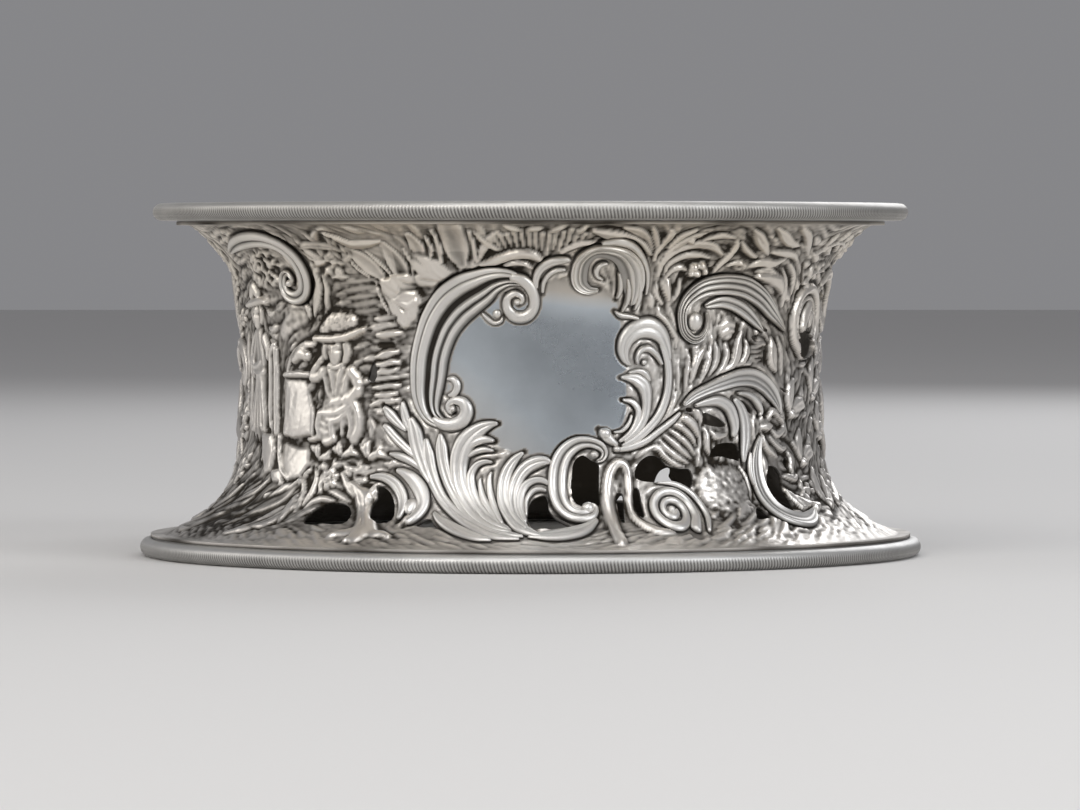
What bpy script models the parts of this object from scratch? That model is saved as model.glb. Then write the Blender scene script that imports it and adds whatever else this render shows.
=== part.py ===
"""Silver dish ring: a waisted, pierced band between two wired rims.

Cast scrolls and leaves are soldered to the band round a plain cartouche, once on its front
and once on its back. Metres, +Z up; the origin is the centre of the plane that the foot
stands on, and the front faces -Y.
"""
from math import atan2, ceil, cos, exp, hypot, pi, radians, sin

import bmesh
import bpy
import numpy as np

MM = 0.001

# Driving dimensions of the ring, in millimetres
HEIGHT = 88.0
FOOT_RADIUS = 98.0
RIM_RADIUS = 94.7
WAIST_RADIUS = 72.0
SHEET = 0.8
FOOT_WIRE_HEIGHT = 4.4
FOOT_WIRE_WIDTH = 6.6
RIM_WIRE_HEIGHT = 4.3
RIM_WIRE_WIDTH = 7.4
FOOT_STEP = 2.7         # the foot flange stops this far inside the foot wire's nose
RIM_OVERHANG = 5.9      # the rim wire's nose stands this far outside the rim flange
FLANGE = 3.2            # flat width of each turned-out edge of the band
FOOT_CURVE = 6.6        # height in which the foot's flare falls to a third
RIM_CURVE = 7.7         # height in which the rim's flare falls to a third
SOLDER = 0.3            # clearance of every soldered seat
CROWN = 2.1             # height of the applied scrolls over their seat

# The ornament is drawn on a flat sheet, in degrees round the band and millimetres up it
DRAWN_FOOT = 5.6
DRAWN_RIM = 82.5
DRAWN_RADIUS = 72.0

# Fineness of the meshes
TURN_STEPS = 60
BAND_LEVELS = 13
NOSE_STEPS = 4
STATION = 3.0           # longest step along a scroll, in millimetres
BEND = 0.7              # largest turn between two stations of a scroll, in radians
SPLINE_STEPS = 10
LOBE_STEPS = 3          # stations along each lobe of a leaf
SHARP = radians(40)

# What follows from the driving dimensions
FOOT_LEVEL = FOOT_WIRE_HEIGHT + SOLDER + SHEET
RIM_LEVEL = HEIGHT - RIM_WIRE_HEIGHT - SOLDER - SHEET
FOOT_EDGE = FOOT_RADIUS - FOOT_STEP
RIM_EDGE = RIM_RADIUS - RIM_OVERHANG
SHEET_RISE = (RIM_LEVEL - FOOT_LEVEL) / (DRAWN_RIM - DRAWN_FOOT)
DEGREE = radians(1) * DRAWN_RADIUS
DRAWN_WIDTH = min(SHEET_RISE, WAIST_RADIUS / DRAWN_RADIUS)

# Cross-sections of the mounts: side from -1 to 1, and share of the crown
REEDED = [(-1, 0), (-1, 0.65), (-0.7, 1), (-0.3, 0.5), (0.1, 0.9), (0.45, 0.45), (0.8, 0.6), (1, 0)]
ROUND = [(-1, 0), (-0.9, 0.6), (-0.25, 1), (0.45, 0.85), (1, 0.35), (1, 0)]
VEINED = [(-1, 0), (-0.95, 0.3), (-0.45, 0.95), (0, 0.6), (0.45, 0.95), (0.95, 0.3), (1, 0)]


def flare(level):
    """Radius of the band's outside at a height between its two flanges."""
    foot = (FOOT_EDGE - FLANGE - WAIST_RADIUS) * exp((FOOT_LEVEL - level) / FOOT_CURVE)
    rim = (RIM_EDGE - FLANGE - WAIST_RADIUS) * exp((level - RIM_LEVEL) / RIM_CURVE)
    return WAIST_RADIUS + foot + rim


def flare_levels():
    """Heights of the band's rings, top first and closest together in the flares."""
    rise = RIM_LEVEL - FOOT_LEVEL
    return [FOOT_LEVEL + rise * (1 + cos(pi * k / BAND_LEVELS)) / 2 for k in range(BAND_LEVELS + 1)]


LEVELS = flare_levels()
RADII = [flare(level) for level in LEVELS]


def wrap(angle, drawn_height, lift):
    """A point of the drawn sheet, wrapped on the band and lifted off it along its normal."""
    level = FOOT_LEVEL + (drawn_height - DRAWN_FOOT) * SHEET_RISE
    radius = np.interp(level, LEVELS[::-1], RADII[::-1])
    slope = (flare(level + 0.1) - flare(level - 0.1)) / 0.2
    across = 1 / hypot(1, slope)
    radius += lift * across
    level -= lift * across * slope
    turn = radians(angle)
    return (radius * sin(turn) * MM, -radius * cos(turn) * MM, level * MM)


def offset_line(line, distance):
    """A line moved sideways by a distance, with mitred corners."""
    moved = []
    for k, (r, z) in enumerate(line):
        before = line[max(k - 1, 0)]
        after = line[min(k + 1, len(line) - 1)]
        normals = []
        for a, b in ((before, (r, z)), ((r, z), after)):
            length = hypot(b[0] - a[0], b[1] - a[1])
            if length > 0:
                normals.append(((b[1] - a[1]) / length, (a[0] - b[0]) / length))
        nr = sum(n[0] for n in normals) / len(normals)
        nz = sum(n[1] for n in normals) / len(normals)
        mitre = distance / (nr * nr + nz * nz)
        moved.append((r + nr * mitre, z + nz * mitre))
    return moved


def silver(name, colour, roughness):
    """A polished silver finish of the piece's own tone."""
    material = bpy.data.materials.new(name)
    material.use_nodes = True
    shader = material.node_tree.nodes["Principled BSDF"]
    shader.inputs["Base Color"].default_value = (*colour, 1)
    shader.inputs["Metallic"].default_value = 1
    shader.inputs["Roughness"].default_value = roughness
    return material


def new_object(name, mesh, material=None):
    """A named object in the scene, parented to the ring's empty."""
    piece = bpy.data.objects.new(name, mesh)
    bpy.context.scene.collection.objects.link(piece)
    if material:
        mesh.materials.append(material)
    piece.parent = bpy.data.objects["dish_ring"]
    return piece


def turned(name, outline, material):
    """A closed outline (radius, height), given down its outer side, turned round the axis."""
    mesh = bpy.data.meshes.new(name)
    points = [(r * MM, 0, z * MM) for r, z in outline]
    edges = [(k, (k + 1) % len(points)) for k in range(len(points))]
    mesh.from_pydata(points, edges, [])
    piece = new_object(name, mesh, material)
    screw = piece.modifiers.new("turn", "SCREW")
    screw.axis = "Z"
    screw.steps = screw.render_steps = TURN_STEPS
    screw.use_merge_vertices = True
    screw.merge_threshold = 0.00001
    screw.use_smooth_shade = True
    return piece


def band(material):
    """The sheet: a flange, the waisted flare and a flange, of one thickness throughout."""
    outside = [(RIM_EDGE, RIM_LEVEL)]
    outside += list(zip(RADII, LEVELS))
    outside.append((FOOT_EDGE, FOOT_LEVEL))
    inside = offset_line(outside, SHEET)
    return turned("band", outside + inside[::-1], material)


def wire(name, radius, width, base, height, material):
    """A rim wire: flat above, below and inside, with a half-round nose."""
    nose = height / 2
    outline = [(radius - width, base + height)]
    for k in range(NOSE_STEPS + 1):
        turn = pi / 2 - pi * k / NOSE_STEPS
        outline.append((radius - nose + nose * cos(turn), base + nose + nose * sin(turn)))
    outline.append((radius - width, base))
    return turned(name, outline, material)


def catmull(points, closed=False):
    """Dense points on a smooth curve through the given ones."""
    points = [np.array(p, float) for p in points]
    if closed:
        points = [points[-1], *points, points[0], points[1]]
    else:
        points = [2 * points[0] - points[1], *points, 2 * points[-1] - points[-2]]
    dense = []
    for a, b, c, d in zip(points, points[1:], points[2:], points[3:]):
        for k in range(SPLINE_STEPS):
            t = k / SPLINE_STEPS
            curve = 2 * b + (c - a) * t + (2 * a - 5 * b + 4 * c - d) * t ** 2
            dense.append((curve + (3 * b - a - 3 * c + d) * t ** 3) / 2)
    if not closed:
        dense.append(points[-2])
    return dense


def stations(points):
    """Points along a smooth curve, closer together where it turns."""
    dense = catmull(points)
    kept = [dense[0]]
    spent = 0
    for before, here, after in zip(dense, dense[1:], dense[2:]):
        came = here - before
        goes = after - here
        turn = atan2(came[0] * goes[1] - came[1] * goes[0], came @ goes)
        spent += hypot(*came) / STATION + abs(turn) / BEND
        if spent >= 1:
            kept.append(here)
            spent = 0
    kept.append(dense[-1])
    return kept


def even(points, count):
    """Points spaced evenly along a smooth curve."""
    dense = np.array(catmull(points))
    run = np.concatenate([[0], np.cumsum(np.hypot(*np.diff(dense, axis=0).T))])
    marks = np.linspace(0, run[-1], count + 1)
    return list(np.column_stack([np.interp(marks, run, way) for way in dense.T]))


def on_sheet(points):
    """Degrees and millimetres as the drawing's own millimetres."""
    return [(angle * DEGREE, height) for angle, height in points]


def volute(centre, start, outer, inner, turns):
    """A spiral from its outside in; a negative count of turns runs clockwise."""
    steps = ceil(abs(turns) * 8)
    x, y = on_sheet([centre])[0]
    spiral = []
    for k in range(steps + 1):
        turn = radians(start) + 2 * pi * turns * k / steps
        radius = outer + (inner - outer) * k / steps
        spiral.append((x + radius * cos(turn), y + radius * sin(turn)))
    return spiral


def mount(name, spine, half_widths, section, about, lobes=0, sweep=0.0):
    """A cast mount: a section swept along its spine and wrapped on the band.

    The half-widths are spaced evenly along the spine. Lobes scallop the edges of a leaf,
    and its sweep leans them towards the tip.
    """
    line = even(spine, lobes * LOBE_STEPS) if lobes else stations(spine)
    steps = [hypot(*(b - a)) for a, b in zip(line, line[1:])]
    run = np.concatenate([[0], np.cumsum(steps)]) / sum(steps)
    widths = np.interp(run, np.linspace(0, 1, len(half_widths)), half_widths) * DRAWN_WIDTH
    work = bmesh.new()
    rings = []
    for k, here in enumerate(line):
        along = line[min(k + 1, len(line) - 1)] - line[max(k - 1, 0)]
        along = along / hypot(*along)
        side_way = np.array((-along[1], along[0]))
        scallop = 1 - 0.3 * abs(cos(pi * lobes * run[k])) if lobes else 1
        width = widths[k] * scallop
        rise = min(CROWN, 0.5 * CROWN + 0.35 * width)
        ring = []
        for side, share in section:
            at = here + side * width * side_way + abs(side) * sweep * width * along
            ring.append(work.verts.new(wrap(at[0] / DEGREE + about, at[1], SOLDER + share * rise)))
        rings.append(ring)
    for ring, after in zip(rings, rings[1:]):
        for k in range(len(section)):
            n = (k + 1) % len(section)
            work.faces.new((ring[k], ring[n], after[n], after[k]))
    work.faces.new(rings[0][::-1])
    work.faces.new(rings[-1])
    bmesh.ops.recalc_face_normals(work, faces=work.faces)
    mesh = bpy.data.meshes.new(name)
    work.to_mesh(mesh)
    work.free()
    mesh.shade_smooth()
    mesh.set_sharp_from_angle(angle=SHARP)
    return new_object(name, mesh, silver(name, (0.74, 0.73, 0.71), 0.2))


def openings():
    """Outlines of the pierced openings of one side: degrees round and millimetres up."""
    return [
        [(-42.5, 11.5), (-38.5, 15), (-34.2, 14), (-33, 11.6), (-35, 10.4), (-40, 10.4)],
        [(-27.6, 19), (-25.2, 17), (-24, 12.2), (-26.4, 11.2), (-28.4, 13.6)],
        [(0, 12), (0.2, 16), (2, 17.8), (3.2, 15.2), (6, 10.8), (2.2, 10.4)],
        [(8.4, 19), (9, 24), (11.4, 24.8), (12.4, 21), (12, 17.4), (9.6, 16.6)],
        [(15.4, 14), (16.2, 17.8), (17, 16.4), (16.4, 11.6)],
        [(20.4, 22), (22, 26.2), (25.2, 26), (28, 24), (31, 23.4), (29, 20.6), (24, 20.6)],
        [(35.4, 26.4), (37, 29.4), (41, 30), (43.6, 26), (42.6, 22.6), (39.5, 26)],
        [(35, 36), (36.4, 37.4), (39.6, 35.8), (41, 33.6), (38, 34)],
        [(50.8, 19), (52.6, 23), (55.4, 20.6), (55, 14.8), (52.6, 12.4)],
        [(64, 55), (66, 60), (71, 61), (73, 55), (70, 51), (66, 51.4)],
    ]


def pierce(piece):
    """Saw the openings through the band, on its front and on its back."""
    work = bmesh.new()
    depth = 3 * SHEET
    for about in (0, 180):
        for outline in openings():
            edge = catmull(outline, closed=True)[::SPLINE_STEPS // 2]
            inner = [work.verts.new(wrap(a + about, z, -depth)) for a, z in edge]
            outer = [work.verts.new(wrap(a + about, z, depth)) for a, z in edge]
            for k in range(len(edge)):
                n = (k + 1) % len(edge)
                work.faces.new((inner[k], inner[n], outer[n], outer[k]))
            work.faces.new(inner)
            work.faces.new(outer)
    bmesh.ops.recalc_face_normals(work, faces=work.faces)
    mesh = bpy.data.meshes.new("piercing_saw")
    work.to_mesh(mesh)
    work.free()
    saw = new_object("piercing_saw", mesh)
    saw.hide_render = True
    saw.display_type = "WIRE"
    cut = piece.modifiers.new("pierce", "BOOLEAN")
    cut.operation = "DIFFERENCE"
    cut.solver = "EXACT"
    cut.object = saw


def cartouche(side, about):
    """The scrolls and leaves that frame the plain cartouche."""
    head = volute((-2.3, 64.2), 95, 4.3, 1.0, -1.25)
    curl = volute((-14.8, 38.4), 195, 3.2, 0.9, 1.1)
    belly = on_sheet([(-8, 69.2), (-14, 65.4), (-18.2, 59), (-20, 51), (-20, 44), (-18.8, 39.6)])
    mount(f"{side}_cartouche_scroll", head[::-1] + belly + curl,
          [0.4, 0.9, 1.1, 2.6, 4.2, 5.0, 3.4, 1.2, 1.0, 0.4], REEDED, about)
    link = on_sheet([(3, 68.2), (3.2, 71), (4.8, 73), (6.2, 73.6)])
    mount(f"{side}_crest_link", link, [0.8, 1.4, 1.6, 1.0], REEDED, about)
    crest = on_sheet([(12.8, 70), (10.6, 68.6), (8.9, 71.4), (10.4, 75), (14.4, 75),
                      (17.6, 72), (19, 67.4), (19.2, 62.8)])
    mount(f"{side}_crest_scroll", crest, [0.5, 1.1, 1.4, 2.0, 2.6, 3.2, 3.4, 2.6], REEDED, about)
    leaf = on_sheet([(16.4, 29.8), (20.4, 32), (25, 37), (27.6, 44), (27.2, 51), (24.4, 56.6),
                     (20, 58.4), (17, 55.8)])
    mount(f"{side}_cartouche_leaf", leaf, [0.6, 1.8, 2.6, 2.2, 2.6, 3.0, 2.2, 0.5], VEINED, about,
          lobes=7, sweep=-0.5)


def base(side, about):
    """The scroll and leaves that spring from the foot under the cartouche."""
    scroll = on_sheet([(11.4, 26.4), (13.2, 27.6), (11.4, 30), (7.8, 29), (5.9, 25), (5.4, 20.4),
                       (6.4, 16), (9, 13.6), (11.6, 13.8), (11.6, 15.6)])
    mount(f"{side}_base_scroll", scroll, [0.5, 0.8, 1.1, 1.5, 1.6, 1.5, 1.3, 1.1, 0.8, 0.4],
          ROUND, about)
    acanthus = on_sheet([(-2, 8), (-7, 9.6), (-11.4, 13.4), (-13.6, 19), (-13.6, 25), (-11.8, 30),
                         (-8.4, 33.4)])
    mount(f"{side}_base_acanthus", acanthus, [0.6, 1.8, 3.6, 4.6, 4.0, 2.4, 0.5], VEINED, about,
          lobes=7, sweep=0.6)
    leaf = on_sheet([(1, 8.8), (-2, 11.4), (-3.6, 17), (-3, 22.4), (-0.4, 25.8), (3, 26.6)])
    mount(f"{side}_base_leaf", leaf, [0.5, 1.6, 2.4, 2.6, 1.8, 0.5], VEINED, about,
          lobes=6, sweep=0.6)
    spray = on_sheet([(-17.8, 13), (-20, 18), (-21.6, 24), (-21.8, 29.4), (-23.4, 34)])
    mount(f"{side}_spray_leaf", spray, [0.6, 1.6, 2.6, 2.2, 0.5], VEINED, about,
          lobes=5, sweep=0.6)


def flank(side, about):
    """The scrolls and leaves to the right of the cartouche, and the hood to its left."""
    hood = on_sheet([(34.4, 57.4), (32.4, 56.4), (30.4, 59.2), (31.2, 63.4), (34.2, 67), (39, 69),
                     (45, 68.2), (50.4, 65), (55, 60.2), (58.4, 56.8)])
    mount(f"{side}_hood_scroll", hood, [0.5, 1.0, 1.3, 1.8, 2.6, 3.2, 2.8, 1.8, 0.6], REEDED, about)
    scroll = on_sheet([(32.4, 40.6), (36, 43), (41, 45.2), (47.4, 46), (53, 44), (55.8, 39.6),
                       (54.6, 35.4)])
    mount(f"{side}_leaf_scroll", scroll, [0.6, 1.5, 2.0, 2.2, 2.2, 1.8, 0.6], VEINED, about,
          lobes=6, sweep=0.6)
    crescent = on_sheet([(50, 31.4), (47.8, 28.4), (46.6, 23.4), (46.9, 17.4), (49, 12.4),
                         (53, 9.4), (57, 8.4)])
    mount(f"{side}_crescent_scroll", crescent, [0.5, 1.4, 1.9, 2.1, 1.8, 1.2, 0.5], ROUND, about)
    snail = volute((25.6, 14), -35, 5.0, 0.9, 1.7)
    mount(f"{side}_snail_scroll", snail, [0.6, 1.0, 0.9, 0.8, 0.4], ROUND, about)
    eye = volute((-51, 68.4), 10, 4.2, 1.0, -1.2)
    sweep = on_sheet([(-47.6, 74), (-50.6, 77.4), (-56, 79), (-63, 77.8), (-69, 75)])
    mount(f"{side}_corner_scroll", eye[::-1] + sweep, [0.4, 0.9, 1.1, 1.6, 1.9, 1.6, 0.6],
          REEDED, about)


def build():
    for old in list(bpy.data.objects):
        bpy.data.objects.remove(old, do_unlink=True)
    ring = bpy.data.objects.new("dish_ring", None)
    bpy.context.scene.collection.objects.link(ring)
    pierce(band(silver("band", (0.62, 0.6, 0.57), 0.28)))
    wire("rim_wire", RIM_RADIUS, RIM_WIRE_WIDTH, HEIGHT - RIM_WIRE_HEIGHT, RIM_WIRE_HEIGHT,
         silver("rim_wire", (0.7, 0.69, 0.67), 0.3))
    wire("foot_wire", FOOT_RADIUS, FOOT_WIRE_WIDTH, 0, FOOT_WIRE_HEIGHT,
         silver("foot_wire", (0.66, 0.65, 0.63), 0.3))
    for side, about in (("front", 0), ("rear", 180)):
        cartouche(side, about)
        base(side, about)
        flank(side, about)


build()
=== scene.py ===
"""A silver dish ring: a waisted band, pierced and chased all over, between two milled wires.

The ornament is drawn on a flat sheet, in degrees round the ring and millimetres up it, as a
chaser draws it on the metal. It covers half the ring and is repeated on the other half.
Ground work is raised from the band's own sheet; scrolls and leaves stand on it as mounts.
A drawn line is a list of (degrees, height, half-width) points.
"""
from math import atan2, cos, hypot, pi, radians, sin

import bpy
import numpy as np
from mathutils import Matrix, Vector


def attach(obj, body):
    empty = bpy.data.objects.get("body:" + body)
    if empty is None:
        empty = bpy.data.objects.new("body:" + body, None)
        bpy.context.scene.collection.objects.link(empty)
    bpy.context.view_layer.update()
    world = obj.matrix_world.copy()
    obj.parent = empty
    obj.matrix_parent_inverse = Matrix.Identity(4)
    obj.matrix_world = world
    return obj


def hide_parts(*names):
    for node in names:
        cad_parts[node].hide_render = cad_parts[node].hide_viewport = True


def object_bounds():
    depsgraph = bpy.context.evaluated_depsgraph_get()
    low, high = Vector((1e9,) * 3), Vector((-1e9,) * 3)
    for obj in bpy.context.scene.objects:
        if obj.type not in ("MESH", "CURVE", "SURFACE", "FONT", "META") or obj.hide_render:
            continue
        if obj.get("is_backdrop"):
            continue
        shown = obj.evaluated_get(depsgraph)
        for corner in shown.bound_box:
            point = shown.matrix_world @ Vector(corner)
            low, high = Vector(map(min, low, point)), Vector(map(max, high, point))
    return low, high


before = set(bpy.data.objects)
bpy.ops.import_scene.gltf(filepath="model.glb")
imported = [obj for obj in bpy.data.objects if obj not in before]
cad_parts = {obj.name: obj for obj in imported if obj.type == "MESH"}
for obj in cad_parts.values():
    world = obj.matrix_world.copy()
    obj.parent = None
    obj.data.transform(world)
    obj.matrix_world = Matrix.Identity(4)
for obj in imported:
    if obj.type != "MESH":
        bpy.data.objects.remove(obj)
packed_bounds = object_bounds()

# Sizes, in millimetres unless they say otherwise

MM = 0.001
HEIGHT = 88.0
FOOT_RADIUS = 98.0
RIM_RADIUS = 94.7
WAIST_RADIUS = 72.0
SHEET = 0.8
FOOT_LEVEL = 5.5        # the turned-out edges of the band, and how far out they reach
RIM_LEVEL = 82.6
FOOT_EDGE = 95.3
RIM_EDGE = 88.8
FLANGE = 3.2
FOOT_CURVE = 6.6        # the height over which each flare dies away
RIM_CURVE = 7.7
DEGREE = radians(1) * WAIST_RADIUS      # one degree on the drawn sheet
TURNS = (-180 * DEGREE, 0, 180 * DEGREE)    # the half sheet and its repeats on either side

HALF_COLUMNS = 540      # columns of the chased sheet in half a turn
ROWS = 264
SECTORS = 6
FLANGE_SHARE = 0.6      # drawn height for each millimetre out along a flange
EDGE_FADE = 1.5         # the height over which the relief dies away at both edges
LOWEST = -0.7           # the limits of the band's relief
HIGHEST = 2.6
SEAT = -0.4             # the mounts' undersides, sunk in the band's relief
LIFT = 0.72             # the mounts' height beside the drawn one
RIM_WIRE_WIDTH = 7.4
RIM_WIRE_HEIGHT = 4.3
RIM_MILLS = 690         # milled ridges round each wire
FOOT_WIRE_WIDTH = 6.6
FOOT_WIRE_HEIGHT = 4.4
FOOT_MILLS = 710
WIRE_CHAMFER = 0.4
MILL_STEPS = 4          # points round a wire for each milled ridge
MILL_DEPTH = 0.22
MILL_SLANT = 3.6        # radians of a ridge's pitch for each radian round the wire's nose
SOLDER_SPREAD = 0.1     # how far a bead of solder widens on the wire, and sinks into the band
RIM_SOLDER = (87.9, 88.5, RIM_LEVEL + SHEET - SOLDER_SPREAD)        # two radii and the height it reaches
FOOT_SOLDER = (92.5, 94.8, FOOT_LEVEL - SHEET + SOLDER_SPREAD)
MERGE = 0.000002        # metres between points that become one

CURVE_STEPS = 12        # steps between two points of a drawn line
LINE_STEP = 0.45        # between the stations that a drawn line is chased or modelled at
BAR_STEP = 0.4
SAW_STEP = 0.2
STREAK_STEP = 0.3
THINNEST = 0.15         # the least half-width of a line
EDGE = 0.3              # how softly the edges of raised work and of flat faces meet the ground
FACET_EDGE = 0.9
GROOVE = 0.6            # the width of the groove round raised work
MARGIN = 0.9            # how far past its edge a stroke reaches
LEAF_SHAPE = ((0, 0.35), (0.3, 0.85), (0.62, 1), (0.85, 0.6), (1, 0.15))    # width along a small leaf


# The band's shape

def flare(level):
    """Radius of the band's outside at a height between its two edges."""
    foot = (FOOT_EDGE - FLANGE - WAIST_RADIUS) * np.exp((FOOT_LEVEL - level) / FOOT_CURVE)
    rim = (RIM_EDGE - FLANGE - WAIST_RADIUS) * np.exp((level - RIM_LEVEL) / RIM_CURVE)
    return WAIST_RADIUS + foot + rim


def lay(degrees, level, lift):
    """Points of the drawn sheet laid on the band and lifted off it along its normal."""
    nudge = 0.05
    slope = (flare(level + nudge) - flare(level - nudge)) / (2 * nudge)
    across = 1 / np.hypot(1, slope)
    radius = flare(level) + lift * across
    turn = np.radians(degrees)
    return np.stack([radius * np.sin(turn), -radius * np.cos(turn), level - lift * across * slope], -1) * MM


def smooth(points, step=LINE_STEP, closed=False):
    """Evenly spaced points on a smooth curve through the points of a drawn line."""
    knots = np.array(points, float)
    knots[:, 0] *= DEGREE
    if closed:
        knots = np.vstack([knots[-1], knots, knots[:2]])
    else:
        knots = np.vstack([2 * knots[0] - knots[1], knots, 2 * knots[-1] - knots[-2]])
    t = np.linspace(0, 1, CURVE_STEPS, endpoint=False)[:, None]
    dense = []
    for a, b, c, d in zip(knots, knots[1:], knots[2:], knots[3:]):
        curve = 2 * b + (c - a) * t + (2 * a - 5 * b + 4 * c - d) * t ** 2
        dense.append((curve + (3 * b - a - 3 * c + d) * t ** 3) / 2)
    dense = np.vstack(dense + [knots[-2][None]])
    run = np.concatenate([[0], np.cumsum(np.hypot(*np.diff(dense[:, :2], axis=0).T))])
    marks = np.linspace(0, run[-1], max(int(run[-1] / step), 4) + 1)
    line = np.column_stack([np.interp(marks, run, way) for way in dense.T])
    line[:, 2] = np.clip(line[:, 2], THINNEST, None)
    return line


def spiral(centre, start, outer, inner, turns, wide, narrow):
    """A volute from its outside in; a negative count of turns runs clockwise."""
    steps = int(abs(turns) * 8) + 1
    points = []
    for k in range(steps + 1):
        share = k / steps
        turn = radians(start) + 2 * pi * turns * share
        radius = outer + (inner - outer) * share
        points.append((centre[0] + radius * cos(turn) / DEGREE, centre[1] + radius * sin(turn),
                       wide + (narrow - wide) * share))
    return points


# Cross-sections of raised work: share of the full height at a side from -1 to 1

def rounded(side, run, width):
    """A plain half-round."""
    return np.sqrt(np.clip(1 - side * side, 0, 1))


def hollow(side, run, width):
    """A dished face between two sharp edges."""
    return np.clip((1 - np.abs(side)) * 7, 0, 1) * (0.35 + 0.65 * side ** 2)


def leafy(side, run, width):
    """Two full halves, a sunk midrib, and faint veins that lean to the tip."""
    full = np.clip(1 - side * side, 0, 1) ** 0.42
    rib = 1 - 0.42 * np.exp(-(side / 0.17) ** 2)
    veins = 1 - 0.1 * (0.5 + 0.5 * np.cos((run - 1.6 * np.abs(side) * width) * 2 * pi / 1.7))
    return full * rib * veins


def fluted(tip):
    """The section of a full leaf with two flutes, one edge higher than the other by a share."""
    def section(side, run, width):
        full = np.clip(1 - np.abs(side) ** 3, 0, 1) ** 0.55
        flutes = np.abs(np.sin((side + 1) * pi)) ** 0.7
        depth = 0.22 * np.clip((width - 0.7) / 0.8, 0.25, 1)
        return full * (1 - depth + depth * flutes) * (1 - tip * (0.5 - 0.5 * side))
    return section


def rolled(side, run, width):
    """A leaf hollowed along its inside, with a rolled outer edge."""
    full = np.clip(1 - np.abs(side) ** 6, 0, 1) ** 0.5
    edge = 0.45 * np.exp(-((side - 0.72) / 0.2) ** 2) + 0.25 * np.exp(-((side + 0.8) / 0.16) ** 2)
    return full * (0.5 + edge + 0.06 * np.cos((side + 0.1) * 4 * pi))


def reeds(marks):
    """A reeded section through (side, share) marks."""
    sides, shares = np.array(marks, float).T

    def section(side, run, width):
        return np.interp(side, sides, shares)
    return section


lobe = fluted(0.3)
broad_lobe = fluted(0.35)
scroll_reeds = reeds([(-1, 0.1), (-0.95, 0.5), (-0.8, 0.7), (-0.68, 0.78), (-0.63, 0.58), (-0.58, 0.6),
                      (-0.5, 0.94), (-0.36, 1), (-0.22, 0.85), (-0.12, 0.42), (0.02, 0.22), (0.16, 0.32),
                      (0.26, 0.8), (0.34, 0.86), (0.42, 0.72), (0.48, 0.42), (0.57, 0.42), (0.66, 0.72),
                      (0.74, 0.76), (0.82, 0.62), (0.88, 0.35), (0.94, 0.3), (1, 0)])
crest_reeds = reeds([(-1, 0.1), (-0.92, 0.36), (-0.6, 0.4), (-0.35, 0.42), (-0.2, 0.55), (-0.06, 0.9),
                     (0.05, 0.92), (0.14, 0.62), (0.22, 0.62), (0.42, 0.74), (0.5, 0.68), (0.6, 0.92),
                     (0.68, 0.82), (0.75, 0.55), (0.86, 0.9), (0.95, 0.7), (1, 0.1)])
band_reeds = reeds([(-1, 0.2), (-0.93, 0.7), (-0.75, 1), (-0.56, 0.86), (-0.46, 0.55), (-0.34, 0.6),
                    (-0.16, 0.95), (0.02, 0.85), (0.12, 0.5), (0.24, 0.52), (0.42, 0.82), (0.56, 0.76),
                    (0.66, 0.42), (0.8, 0.55), (0.92, 0.5), (1, 0.1)])
twin_reeds = reeds([(-1, 0.2), (-0.9, 0.75), (-0.6, 1), (-0.25, 0.9), (-0.05, 0.5), (0.12, 0.5),
                    (0.45, 0.85), (0.75, 0.7), (0.92, 0.5), (1, 0.1)])


# Chasing the sheet

def blur(field, width):
    """A field softened over a width in cells; round the ring it repeats every half turn."""
    reach = int(3 * width) + 1
    steps = np.arange(-reach, reach + 1)
    weights = np.exp(-0.5 * (steps / width) ** 2)
    weights /= weights.sum()
    soft = sum(w * np.roll(field, k, 1) for k, w in zip(steps, weights))
    padded = np.pad(soft, ((reach, reach), (0, 0)), "edge")
    return sum(w * padded[reach + k:reach + k + field.shape[0]] for k, w in zip(steps, weights))


def noise(shape, grain, seed):
    """Soft random unevenness over the half sheet, with a grain in cells."""
    wave = blur(np.random.default_rng(seed).standard_normal(shape), grain)
    return wave / wave.std()


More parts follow.
